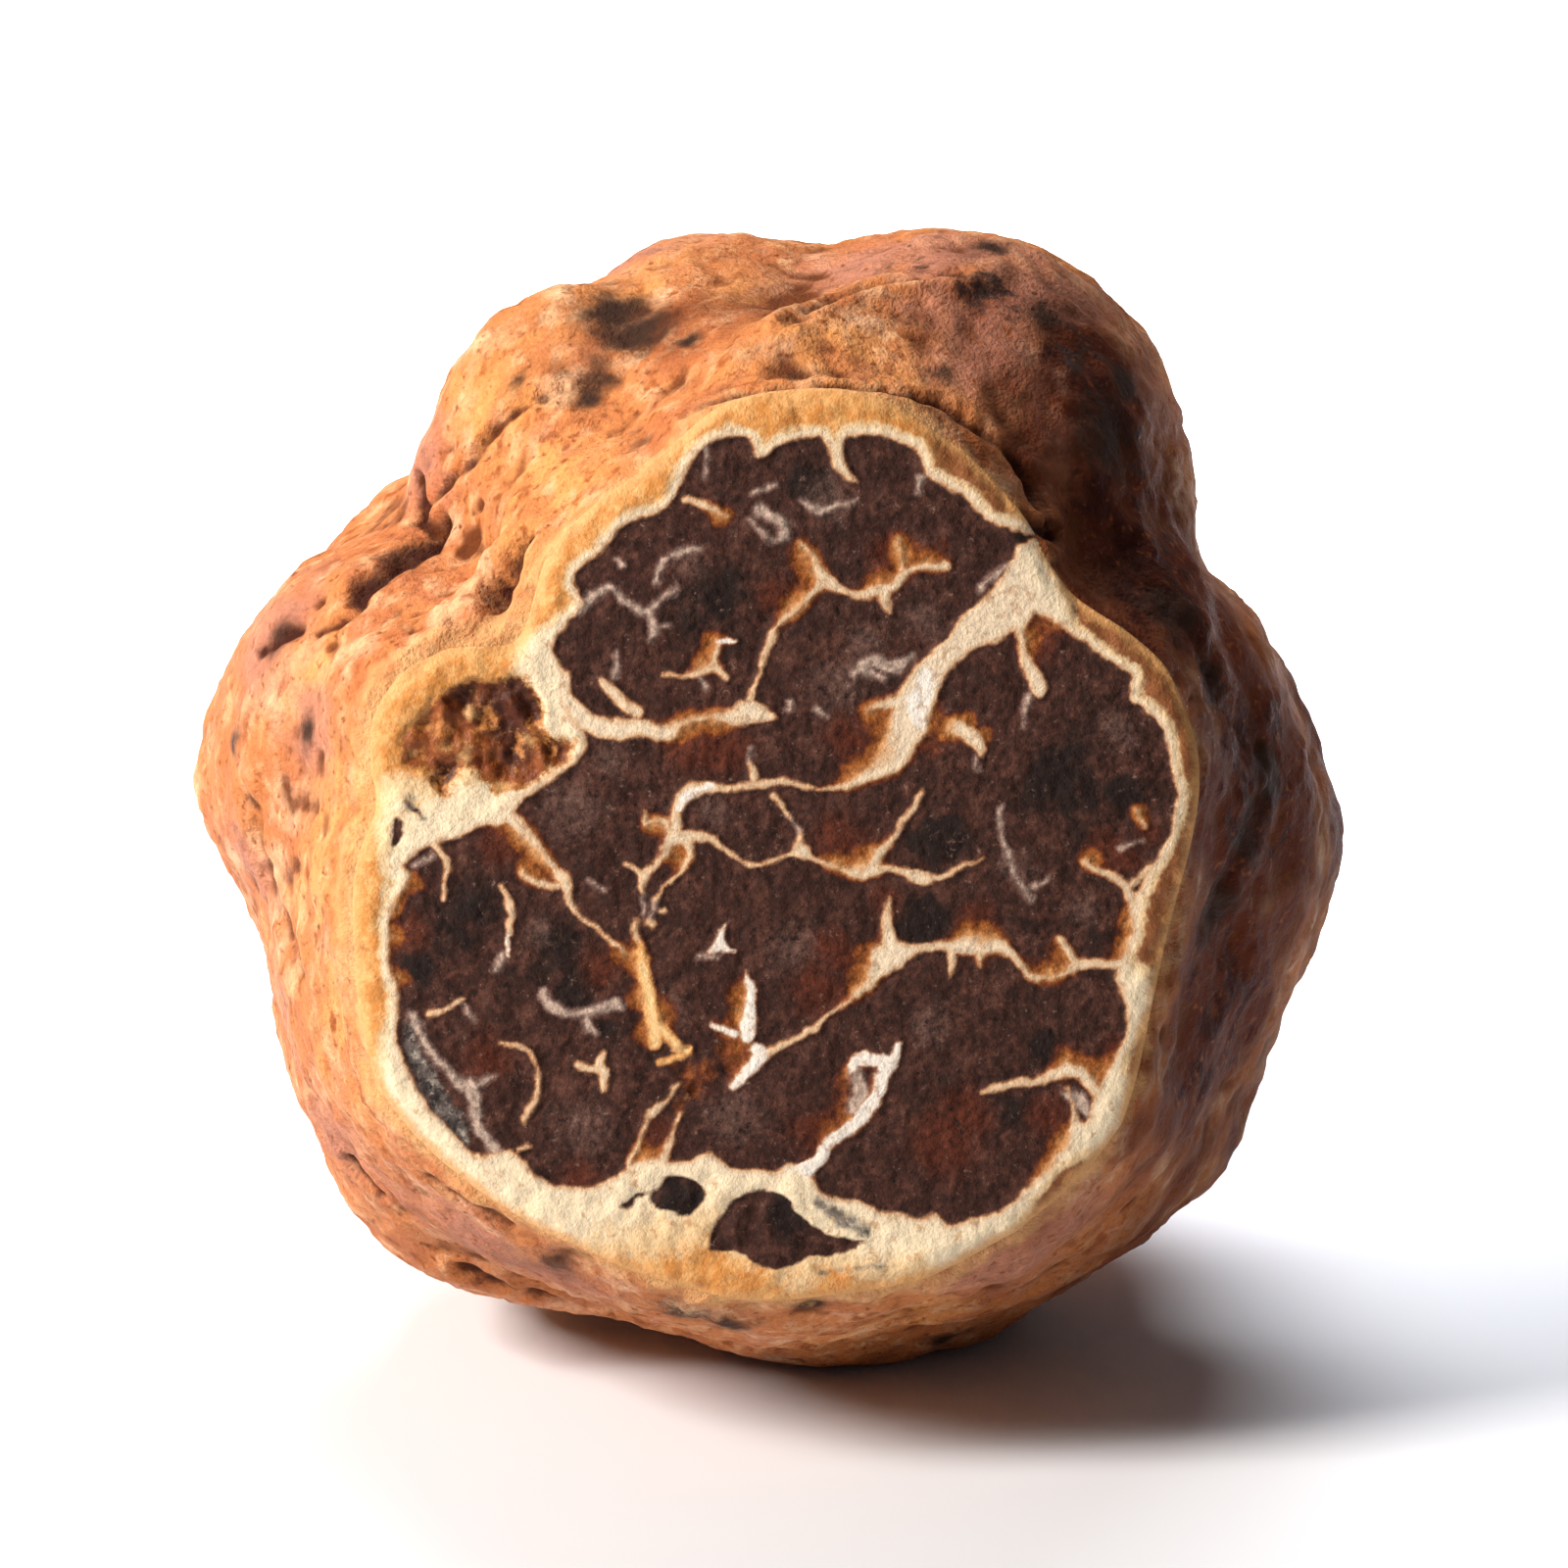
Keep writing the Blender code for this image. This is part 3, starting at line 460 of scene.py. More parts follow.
# Layers from broad to fine: mask and its weight, where, noise size in mm, range of the sum, and colour
LAYERS = (
    ("gold", 0.55, in_mm, 4.5, 0.45, 1.00, "#dc9456"),
    (None, 0.0, in_mm, 3.0, 0.50, 0.80, "#e9bd98"),
    (None, 0.0, upright, 2.2, 0.47, 0.62, "#c77d4a"),
    (None, 0.0, upright, 1.3, 0.50, 0.74, "#e0aa7c"),
    (None, 0.0, upright, 1.0, 0.56, 0.70, "#a05a2c"),
    # painted highlight: crests painted paler by how hollow the skin is
    ("hollow", -0.40, in_mm, 1.5, 0.64, 1.40, "#ecbe93"),
    ("blush_and_sheen", 0.55, in_mm, 2.8, 0.52, 1.10, "#b97c64"),
    # painted shade: the right side and the dip over the knob, painted darker and browner
    ("painted_shade", 0.80, in_mm, 3.6, 0.46, 1.12, "#602912"),
    ("painted_shade", 0.60, in_mm, 1.9, 0.98, 1.16, "#421609"),
    # painted sheen: a mauve sheen over the painted shade of the brow
    ("blush_and_sheen", 0.55, in_mm, 1.4, 0.92, 1.30, "#96624c"),
    ("smoky", 0.60, slanting, 0.8, 1.02, 1.18, "#4a332c"),
    (None, 0.0, in_mm, 0.45, 0.56, 0.76, "#8a4a26"),
    # painted shade: folds painted darker by how hollow the skin is
    ("hollow", 0.85, in_mm, 1.8, 0.58, 1.12, "#683518"),
    # stains, and painted shade along the right valley
    ("stain_and_shade", 0.80, in_mm, 1.2, 0.55, 1.30, "#3b251a"),
    # soil, and painted shade, darkening the creases
    ("soil_and_crease_shade", 0.85, in_mm, 0.7, 0.58, 1.30, "#421d12"),
)
for mask, weight, where, size, start, full, over in LAYERS:
    amount = add(tree, "TexNoise", {"Vector": where, "Scale": 1 / size, "Detail": 4.0})
    if mask:
        amount = add(
            tree, "Math", {0: masks[mask], 1: weight, 2: amount}, operation="MULTIPLY_ADD"
        )
    amount = add(
        tree, "MapRange", {"Value": amount, "From Min": start, "From Max": full},
        interpolation_type="SMOOTHSTEP",
    )
    colour = add(
        tree, "Mix", {FACTOR: amount, UNDER: colour, OVER: linear(over)}, MIXED,
        data_type="RGBA",
    )
# Scurf: pale flakes on a tan ground
flakes = add(tree, "TexNoise", {"Vector": in_mm, "Scale": 2.6, "Detail": 4.0, "Roughness": 0.7})
scurf = add(tree, "Math", {0: masks["scurf"], 1: 0.6, 2: flakes}, operation="MULTIPLY_ADD")
scurf = add(tree, "MapRange", {"Value": scurf, "From Min": 0.76, "From Max": 1.12, "To Max": 0.65})
# Within about a millimetre of the knife's edge the skin is thin and the rind's cream shows through it,
# but not under the painted shade
frayed_rim = add(tree, "TexNoise", {"Vector": in_mm, "Scale": 0.9, "Detail": 5.0, "Roughness": 0.65})
edging = add(tree, "Math", {0: frayed_rim, 1: 4.0, 2: masks["to_rim"]}, operation="MULTIPLY_ADD")
edging = add(tree, "Math", {0: masks["painted_shade"], 1: 1.8, 2: edging}, operation="MULTIPLY_ADD")
edging = add(
    tree, "MapRange", {"Value": edging, "From Min": 3.3, "From Max": 2.0, "To Max": 0.85}
)
# Pores: dark specks about a millimetre apart
pores = add(tree, "TexVoronoi", {"Vector": in_mm, "Scale": 0.8, "Randomness": 1.0})
pore_patches = add(tree, "TexNoise", {"Vector": in_mm, "Scale": 0.35, "Detail": 2.0})
pore_size = add(
    tree, "MapRange",
    {"Value": pore_patches, "From Min": 0.50, "From Max": 0.78, "To Min": 0.0, "To Max": 0.24},
)
pore = add(tree, "Math", {0: pore_size, 1: pores}, operation="SUBTRACT")
pore = add(tree, "MapRange", {"Value": pore, "From Min": 0.0, "From Max": 0.10, "To Max": 0.65})
for amount, over in ((scurf, "#dcae86"), (edging, "#e0aa72"), (pore, "#552f1c")):
    colour = add(
        tree, "Mix", {FACTOR: amount, UNDER: colour, OVER: linear(over)}, MIXED, data_type="RGBA"
    )
# Grain: the finest speckle of the skin
grain = add(tree, "TexNoise", {"Vector": in_mm, "Scale": 3.6, "Detail": 3.0, "Roughness": 0.7})
grain_value, gloss = (
    add(
        tree, "MapRange",
        {"Value": grain, "From Min": 0.3, "From Max": 0.7, "To Min": least, "To Max": most},
    )
    for least, most in ((0.78, 1.20), (0.50, 0.70))
)
colour = add(tree, "VectorMath", {0: colour, 1: grain_value}, operation="MULTIPLY")
height = add(tree, "Math", {0: pore, 1: -1.2, 2: grain}, operation="MULTIPLY_ADD")
height = add(tree, "Math", {0: frayed_rim, 1: 1.6, 2: height}, operation="MULTIPLY_ADD")
bumped = add(tree, "Bump", {"Strength": 0.65, "Distance": 0.00026, "Height": height})
shader = add(
    tree, "BsdfPrincipled",
    {
        "Base Color": colour, "Roughness": gloss, "IOR": 1.42, "Normal": bumped,
        "Specular IOR Level": 0.12, "Subsurface Weight": 0.12, "Subsurface Scale": 0.0012,
        "Subsurface Radius": (1.0, 0.45, 0.2),
    },
)
cover(skin, peridium, shader)
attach(skin, "root")
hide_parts("truffle")

# ------------------------------------------------------------------------------------------------
# Cut flesh. The knife's face shows the gleba: dark brown, velvety chambers of ripe spores, marbled by
# pale sterile veins that run in from the rind. The chambers dry back a little below the veins. One
# old chamber on the left has rotted to a rusty hollow. It is a fine grid, trimmed to the skin's rim.

GRID_STEP = 0.119  # millimetres between the grid's points
CHAMBER_SINK = 0.09  # how far the chambers' edges stand below the veins
CHAMBER_CROWN = 0.08  # how far their middles rise again
MEMBRANE_RISE = 0.05
ROT_DEPTH = 0.12
ROT_CORE_DEPTH = 0.30  # how much deeper the rotted chamber is at its core
TORN_DEPTH = 0.05
SKIRT_DEPTH = 0.5  # how far the flesh's hidden edge reaches in behind the rim
SKIRT_SHRINK = 0.985

size_a, size_b = (rim.max(axis=0) - rim.min(axis=0)) + 2 * GRID_STEP
flesh = bmesh.new()
bmesh.ops.create_grid(
    flesh, x_segments=round(size_a / GRID_STEP), y_segments=round(size_b / GRID_STEP), size=0.5
)
bmesh.ops.scale(flesh, verts=flesh.verts, vec=(size_a, size_b, 1.0))
grid_centre = (rim.max(axis=0) + rim.min(axis=0)) / 2
bmesh.ops.translate(flesh, verts=flesh.verts, vec=(*grid_centre, 0.0))


def against_outline(spots, outline):
    """For each spot: whether it is inside the outline, its distance to it, and the nearest place on it."""
    outline = np.array(outline, float)
    distance = np.full(len(spots), 1e9)
    nearest = np.zeros_like(spots)
    inside = np.zeros(len(spots), bool)
    for start, end in zip(outline, np.roll(outline, -1, axis=0)):
        side = end - start
        offset = spots - start
        along = np.clip(offset @ side / (side @ side), 0.0, 1.0)[:, None]
        place = start + along * side
        away = np.linalg.norm(spots - place, axis=1)
        closer = away < distance
        distance[closer] = away[closer]
        nearest[closer] = place[closer]
        crosses = (start[1] > spots[:, 1]) != (end[1] > spots[:, 1])
        inside ^= crosses & (offset[:, 0] < side[0] * offset[:, 1] / (side[1] if side[1] else 1e-9))
    return inside, distance, nearest


flat = np.array([v.co for v in flesh.verts])[:, :2]
inside, _, on_rim = against_outline(flat, rim)
flesh.verts.ensure_lookup_table()
outside_faces = [f for f in flesh.faces if not any(inside[v.index] for v in f.verts)]
for vertex, is_inside, place_on_rim in zip(flesh.verts, inside, on_rim):
    if not is_inside:
        vertex.co.x, vertex.co.y = place_on_rim
bmesh.ops.delete(flesh, geom=outside_faces, context="FACES")
flat = np.array([v.co for v in flesh.verts])[:, :2]
to_rim = against_outline(flat, rim)[1]

# The marbling, drawn on the cut (a to the right, b up it, in millimetres): smooth curves through the
# points below. The gleba's outline inside the rind runs clockwise from the upper left.
DRAWN_FROM = 0.24  # the drawing's middle lies this far right of the cut's
GLEBA = (
    (-4.6, 16.7), (-3.8, 18.0), (-2.4, 18.8), (-1.5, 18.7), (-0.9, 17.9), (0.0, 18.45), (1.4, 18.8),
    (2.1, 18.4), (2.5, 17.2), (3.45, 16.75), (2.85, 17.8), (3.2, 18.9), (4.8, 18.85), (6.2, 18.1),
    (6.6, 17.1), (8.0, 16.3), (9.2, 15.2), (10.2, 14.7), (11.8, 14.3), (10.8, 13.9), (11.0, 12.7),
    (12.1, 10.9), (13.3, 9.7), (15.0, 8.6), (16.0, 8.0), (15.9, 6.9), (17.2, 5.9), (17.6, 4.6),
    (18.05, 2.5), (17.7, 0.7), (16.9, -0.9), (16.2, -2.2), (16.05, -3.6), (15.7, -4.7), (15.3, -6.0),
    (15.85, -7.8), (15.6, -9.0), (14.9, -10.3), (14.3, -11.5), (14.0, -12.6), (13.3, -12.6), (13.0, -13.8),
    (12.0, -14.9), (11.0, -16.0), (9.8, -16.8), (7.8, -17.4), (7.0, -16.9), (6.3, -17.05), (4.8, -16.8),
    (3.6, -16.35), (1.9, -16.05), (1.4, -15.2), (0.5, -14.5), (-0.3, -14.9), (-2.1, -14.8), (-3.4, -14.1),
    (-4.5, -14.5), (-5.9, -14.3), (-7.2, -14.85), (-9.0, -15.75), (-10.9, -15.35), (-12.4, -13.9),
    (-14.1, -14.2), (-15.3, -12.8), (-16.7, -11.0), (-17.6, -8.8), (-17.4, -6.8), (-17.8, -5.3),
    (-17.8, -3.0), (-16.9, -1.4), (-17.2, -0.8), (-16.2, 0.0), (-14.8, 0.5), (-13.5, 1.1), (-12.6, 1.2),
    (-12.2, 2.0), (-10.8, 3.1), (-9.3, 4.1), (-8.9, 5.0), (-9.9, 6.6), (-9.9, 7.8), (-10.3, 9.4),
    (-9.6, 10.4), (-9.0, 11.2), (-9.4, 12.5), (-8.3, 13.5), (-7.4, 14.5), (-6.4, 15.1), (-5.2, 15.6),
)
# Dark pockets that lie by themselves in the rind, and the chamber that has rotted
POCKETS = (
    ((-6.0, -16.1), (-5.2, -15.2), (-4.0, -15.4), (-3.4, -16.2), (-4.3, -16.95), (-5.5, -16.7)),
    ((-7.5, -16.5), (-6.5, -15.95), (-5.9, -16.0), (-6.6, -16.3), (-6.9, -16.7)),
    ((-3.3, -18.0), (-2.7, -16.7), (-1.8, -15.9), (0.1, -15.95), (0.9, -17.0), (2.1, -17.7), (3.8, -18.2),
     (2.9, -18.7), (1.4, -18.9), (0.4, -19.35), (-0.8, -19.45), (-2.0, -18.7), (-3.3, -18.6)),
    ((-17.9, 0.3), (-17.6, 1.3), (-17.2, 1.0), (-17.5, 0.1)),
    ((-17.1, 2.3), (-16.6, 1.9), (-16.4, 1.4), (-16.9, 1.8)),
)
ROTTED = (
    (-17.6, 4.7), (-17.3, 3.7), (-16.3, 3.5), (-15.4, 2.2), (-14.3, 3.5), (-13.0, 2.4), (-11.6, 2.8),
    (-9.8, 3.9), (-9.4, 4.9), (-10.4, 5.4), (-10.8, 6.6), (-11.6, 8.0), (-13.0, 7.9), (-14.6, 7.8),
    (-16.4, 6.5),
)
# Veins and smears are bands about curves, through points (a, b, half width)
BANDS = {
    # cream veins
    "cream": (
        # the broad one in from the upper right, which thins as it crosses the middle
        ((10.95, 13.6, 0.25), (10.8, 11.8, 0.95), (10.3, 11.0, 1.1), (8.3, 9.6, 0.68), (7.2, 8.5, 0.6),
         (6.3, 7.1, 0.85), (5.7, 5.5, 0.8), (5.0, 4.0, 0.6), (3.6, 3.15, 0.26), (1.8, 2.6, 0.08),
         (0.0, 3.0, 0.15), (-2.4, 2.7, 0.13), (-4.1, 2.65, 0.35), (-4.75, 1.7, 0.2), (-4.85, 0.4, 0.35)),
        ((11.4, 11.5, 0.7), (12.2, 11.0, 0.45), (13.0, 10.3, 0.3)),
        ((10.9, 10.4, 0.3), (10.95, 9.3, 0.17), (11.35, 8.1, 0.35), (11.8, 7.35, 0.42)),
        ((5.6, 6.6, 0.4), (4.8, 6.6, 0.2), (4.0, 6.4, 0.1)),
        ((7.7, 5.4, 0.12), (8.2, 5.4, 0.34), (9.0, 4.8, 0.32), (9.2, 4.4, 0.1)),
        ((-1.2, 3.1, 0.18), (-1.4, 3.8, 0.12)),
        # the fork below the topmost chamber
        ((0.9, 13.9, 0.07), (1.6, 13.0, 0.15), (2.0, 12.3, 0.32), (2.8, 11.75, 0.18), (3.6, 11.6, 0.16),
         (4.6, 11.8, 0.3), (5.7, 12.6, 0.17), (6.8, 12.9, 0.17), (7.5, 12.9, 0.2)),
        ((1.95, 12.3, 0.25), (1.3, 11.6, 0.17), (0.5, 10.8, 0.12), (-0.3, 10.1, 0.1)),
        ((4.65, 11.6, 0.28), (4.85, 10.75, 0.1)), ((5.6, 12.8, 0.1), (5.3, 14.1, 0.1)),
        # round the upper left chamber
        ((-9.9, 7.9, 0.25), (-9.8, 6.9, 0.35), (-9.0, 5.9, 0.45), (-7.9, 5.5, 0.48), (-6.4, 5.5, 0.4),
         (-5.3, 5.35, 0.38), (-4.6, 5.7, 0.15), (-3.2, 6.0, 0.11), (-2.0, 6.0, 0.42), (-1.4, 6.25, 0.55),
         (-0.3, 6.0, 0.08)),
        ((-1.45, 6.9, 0.16), (-1.0, 8.0, 0.1), (-0.5, 9.5, 0.17), (-0.3, 10.1, 0.1)),
        ((-8.1, 7.6, 0.2), (-7.4, 6.9, 0.28), (-6.5, 6.2, 0.25)),
        ((-5.4, 7.9, 0.07), (-4.2, 7.85, 0.12), (-3.2, 8.3, 0.2), (-2.5, 7.8, 0.12)),
        ((-3.2, 8.3, 0.18), (-2.9, 8.9, 0.12), (-2.8, 9.4, 0.14)),
        ((-4.35, 16.0, 0.12), (-3.7, 15.85, 0.16), (-2.4, 15.2, 0.07)),
        # down from beside the rotted chamber
        ((-9.3, 4.6, 0.3), (-10.3, 3.4, 0.18), (-11.7, 2.5, 0.18), (-12.5, 1.7, 0.3), (-11.6, 0.7, 0.25),
         (-10.6, -0.6, 0.16), (-9.9, -1.5, 0.24), (-9.4, -2.9, 0.14), (-8.2, -3.9, 0.1), (-7.15, -4.7, 0.1)),
        ((-11.8, -1.1, 0.11), (-11.4, -1.5, 0.14), (-10.2, -1.8, 0.14)),
        ((-15.8, 0.2, 0.2), (-15.2, -0.8, 0.12), (-15.4, -2.3, 0.08)),
        ((-12.8, -1.7, 0.08), (-12.4, -2.6, 0.17), (-12.4, -4.0, 0.15)),
        ((-16.1, -7.6, 0.15), (-15.2, -7.3, 0.11), (-14.45, -6.9, 0.07)),
        # the thin pair above the orange stem
        ((-5.0, 0.3, 0.25), (-5.6, -0.5, 0.13), (-6.3, -1.25, 0.22), (-6.25, -2.1, 0.05)),
        ((-4.3, 0.35, 0.25), (-4.15, -0.4, 0.12), (-4.65, -1.25, 0.09), (-5.35, -1.95, 0.06),
         (-5.75, -2.4, 0.11)),
        ((-6.3, -1.1, 0.15), (-7.0, -0.8, 0.05)),
        ((-5.15, 0.6, 0.12), (-5.4, 1.15, 0.13), (-6.2, 1.2, 0.13), (-6.2, 1.6, 0.07)),
        ((-5.5, -2.95, 0.1), (-5.4, -2.95, 0.11)), ((-6.1, -3.5, 0.14), (-5.95, -3.6, 0.16)),
        ((-6.6, -3.4, 0.1), (-6.6, -4.0, 0.1), (-6.4, -4.5, 0.1)),
        # across the middle to the right
        ((-4.8, 0.4, 0.3), (-3.4, 0.5, 0.17), (-2.4, -0.2, 0.1), (-1.1, -0.75, 0.09), (0.3, -0.3, 0.09),
         (0.9, -0.1, 0.38), (1.4, -0.5, 0.15), (2.8, -0.95, 0.12), (3.8, -1.1, 0.35), (5.2, -0.95, 0.15),
         (6.2, -1.45, 0.3), (7.3, -1.3, 0.12), (9.2, -0.45, 0.06)),
        ((4.2, -0.8, 0.2), (4.55, -0.2, 0.25), (5.4, 0.9, 0.1), (6.4, 2.5, 0.13)),
        ((0.9, 0.1, 0.2), (0.9, 0.8, 0.05)), ((-0.4, 2.35, 0.09), (0.3, 1.7, 0.1), (0.5, 1.4, 0.05)),
        # the long lower one, with its peak and cusps
        ((-0.8, -9.6, 0.15), (1.3, -8.3, 0.15), (2.3, -7.6, 0.08), (3.6, -6.7, 0.12), (4.5, -5.5, 0.5),
         (5.0, -5.0, 0.62), (6.2, -4.7, 0.25), (7.3, -4.55, 0.22), (8.4, -4.5, 0.43), (9.7, -4.5, 0.4),
         (10.6, -5.0, 0.22), (11.4, -5.95, 0.14), (12.6, -5.95, 0.09), (13.5, -5.4, 0.22),
         (14.8, -5.3, 0.2), (16.0, -5.3, 0.3)),
        ((4.9, -4.6, 0.4), (4.85, -3.6, 0.25), (4.9, -2.3, 0.04)),
        ((7.75, -4.8, 0.25), (7.75, -5.9, 0.05)), ((9.1, -4.9, 0.2), (9.1, -5.5, 0.07)),
        ((12.75, -4.25, 0.18), (13.4, -5.2, 0.2)),
        # the right side
        ((13.85, -0.55, 0.11), (14.3, -1.05, 0.12), (15.8, -1.8, 0.2), (16.2, -3.2, 0.2), (16.1, -4.8, 0.2)),
        ((15.8, -1.8, 0.15), (16.6, -1.2, 0.15), (17.0, -0.8, 0.12)), ((16.2, 1.8, 0.1), (16.5, 1.0, 0.08)),
        ((9.2, -11.3, 0.07), (10.4, -11.0, 0.2), (11.6, -10.8, 0.15), (12.9, -10.3, 0.32),
         (13.6, -10.4, 0.3), (14.5, -11.2, 0.25)),
        ((13.5, -12.8, 0.2), (13.3, -11.6, 0.06), (13.05, -11.1, 0.05)),
        # lower left
        ((-12.8, -9.05, 0.08), (-11.7, -9.3, 0.13), (-11.2, -10.2, 0.08), (-11.1, -11.3, 0.13),
         (-11.7, -12.3, 0.12), (-11.7, -12.7, 0.04)),
        ((-9.3, -10.0, 0.14), (-8.4, -10.15, 0.2), (-8.05, -10.5, 0.23), (-8.1, -11.1, 0.15)),
        ((-8.2, -9.45, 0.15), (-8.3, -10.0, 0.18)), ((-12.0, -13.9, 0.1), (-11.5, -13.7, 0.07)),
        ((-7.0, -15.0, 0.15), (-6.65, -13.7, 0.1), (-6.1, -12.6, 0.09), (-5.8, -12.1, 0.25),
         (-5.2, -11.6, 0.1), (-4.7, -10.9, 0.08)),
        ((-5.5, -14.9, 0.35), (-5.2, -13.6, 0.1), (-4.5, -12.3, 0.08)),
    ),
    # whiter veins, and the white hearts of cream ones
    "white": (
        ((6.7, 7.9, 0.35), (6.3, 6.8, 0.5), (6.2, 5.7, 0.25)), ((-2.8, 9.45, 0.12), (-2.1, 9.5, 0.09)),
        ((-12.5, -4.2, 0.12), (-12.5, -5.0, 0.08)),
        ((-4.6, 1.8, 0.12), (-4.3, 2.4, 0.18), (-3.2, 2.75, 0.15)),
        ((-1.6, -5.7, 0.06), (-1.4, -6.9, 0.25), (-1.5, -8.4, 0.36), (-1.6, -8.9, 0.18)),
        ((-2.1, -8.6, 0.18), (-3.1, -8.2, 0.1)),
        ((-1.2, -9.3, 0.2), (-1.0, -9.6, 0.33), (-1.6, -10.5, 0.2), (-2.3, -11.0, 0.13)),
        ((-2.6, -3.6, 0.04), (-2.9, -4.5, 0.22), (-3.2, -4.75, 0.1)),
        ((-2.8, -4.6, 0.15), (-2.2, -4.8, 0.06)),
        ((0.6, -15.2, 0.5), (1.4, -14.6, 0.35), (2.4, -13.5, 0.26), (3.6, -12.5, 0.3), (4.3, -11.5, 0.3),
         (4.9, -10.0, 0.32), (5.4, -9.0, 0.1)),
        ((4.9, -9.8, 0.3), (3.6, -9.8, 0.32), (3.3, -10.3, 0.18)),
    ),
    # the old stem of tissue in the middle, gone orange
    "orange": (
        ((-6.4, -4.5, 0.1), (-6.25, -5.6, 0.28), (-6.0, -7.2, 0.3), (-5.7, -8.5, 0.33), (-5.8, -9.1, 0.22)),
        ((-5.6, -8.1, 0.25), (-4.8, -9.15, 0.25), (-4.3, -9.35, 0.25)),
        ((-5.5, -9.9, 0.15), (-4.4, -9.5, 0.15)),
    ),
    # faint membranes within the chambers
    "faint": (
        ((-16.9, -7.7, 0.2), (-16.0, -9.4, 0.18), (-14.8, -10.7, 0.2), (-14.1, -11.1, 0.32),
         (-13.9, -12.7, 0.22), (-13.0, -14.0, 0.25)),
        ((-14.1, -11.1, 0.25), (-13.0, -10.55, 0.05)), ((-14.5, -7.2, 0.1), (-14.0, -8.0, 0.08)),
        ((-10.9, -6.5, 0.14), (-10.5, -7.25, 0.22), (-9.2, -7.6, 0.13), (-7.7, -7.2, 0.24),
         (-7.4, -7.3, 0.2)),
        ((-8.7, -7.7, 0.1), (-8.8, -8.1, 0.16), (-8.5, -8.5, 0.07)),
        ((-12.8, -5.0, 0.12), (-13.0, -5.6, 0.18)),
        ((-8.8, -1.5, 0.05), (-8.2, -2.0, 0.06)), ((-16.8, -0.9, 0.07), (-15.9, -0.4, 0.08)),
        ((-6.25, -2.1, 0.05), (-6.3, -3.1, 0.05)), ((-5.75, -2.4, 0.06), (-6.0, -3.4, 0.06)),
        ((-9.2, 10.9, 0.3), (-8.1, 11.8, 0.13), (-7.7, 11.9, 0.15), (-6.9, 11.15, 0.1), (-5.9, 11.05, 0.14),
         (-4.7, 12.0, 0.05)),
        ((-5.95, 11.0, 0.14), (-5.75, 10.1, 0.16), (-5.9, 9.6, 0.1)),
        ((-5.7, 10.0, 0.1), (-5.1, 10.2, 0.07)),
        ((-5.6, 12.1, 0.1), (-5.4, 13.1, 0.12), (-4.0, 13.65, 0.13), (-3.6, 13.6, 0.08)),
        ((-7.6, 8.9, 0.06), (-7.4, 8.4, 0.11), (-7.6, 7.9, 0.1)), ((-3.8, 7.8, 0.08), (-3.5, 7.3, 0.06)),
        ((-7.4, 13.3, 0.1), (-7.2, 13.0, 0.14)), ((-3.35, 18.2, 0.07), (-3.4, 17.0, 0.05)),
        ((-1.2, 16.2, 0.07), (-0.2, 16.6, 0.08)), ((-1.0, 15.5, 0.25), (0.0, 15.0, 0.2), (0.1, 14.2, 0.2)),
        ((-1.4, 15.0, 0.08), (-0.3, 14.0, 0.1)), ((1.0, 15.9, 0.1), (1.8, 15.5, 0.17), (3.4, 15.9, 0.06)),
        ((3.3, 7.9, 0.1), (4.0, 8.5, 0.3), (5.0, 8.3, 0.3), (6.0, 8.8, 0.15)),
        ((3.8, 8.0, 0.15), (4.8, 7.7, 0.12)), ((0.4, 6.7, 0.1), (0.4, 6.35, 0.14)),
        ((1.6, 6.35, 0.13), (2.1, 6.0, 0.08)), ((-1.4, 3.9, 0.1), (-1.3, 4.6, 0.08)),
        ((0.9, 0.8, 0.07), (0.45, 1.5, 0.07)), ((-3.8, -4.95, 0.05), (-2.9, -5.0, 0.07)),
        ((10.1, 1.9, 0.06), (10.0, 0.9, 0.09), (10.7, -1.3, 0.14), (11.4, -2.4, 0.12)),
        ((8.9, 4.2, 0.09), (8.9, 3.6, 0.06)), ((11.25, 7.0, 0.12), (11.0, 5.7, 0.05)),
        ((15.4, 0.0, 0.07), (16.4, 0.3, 0.07)), ((6.3, 17.0, 0.15), (6.1, 16.4, 0.09)),
        ((3.45, -10.5, 0.25), (3.6, -11.3, 0.3), (3.4, -12.0, 0.3)), ((10.3, 12.9, 0.1), (9.1, 11.9, 0.1)),
        ((12.9, -11.4, 0.07), (13.6, -11.6, 0.3), (14.0, -12.2, 0.15)),
        ((11.5, -1.8, 0.1), (12.1, -1.5, 0.08)),
    ),
    # old grey mould, most of it along the lower left edge
    "mould": (
        ((-17.0, -8.3, 0.3), (-16.7, -9.8, 0.45), (-15.9, -11.2, 0.55), (-15.0, -12.5, 0.5),
         (-14.5, -13.6, 0.3)),
        ((1.6, -16.3, 0.25), (2.8, -17.1, 0.4), (3.8, -17.7, 0.3)), ((1.8, -19.6, 0.08), (5.2, -19.3, 0.1)),
        ((-17.0, 2.4, 0.2), (-16.4, 1.4, 0.2)),
    ),
}
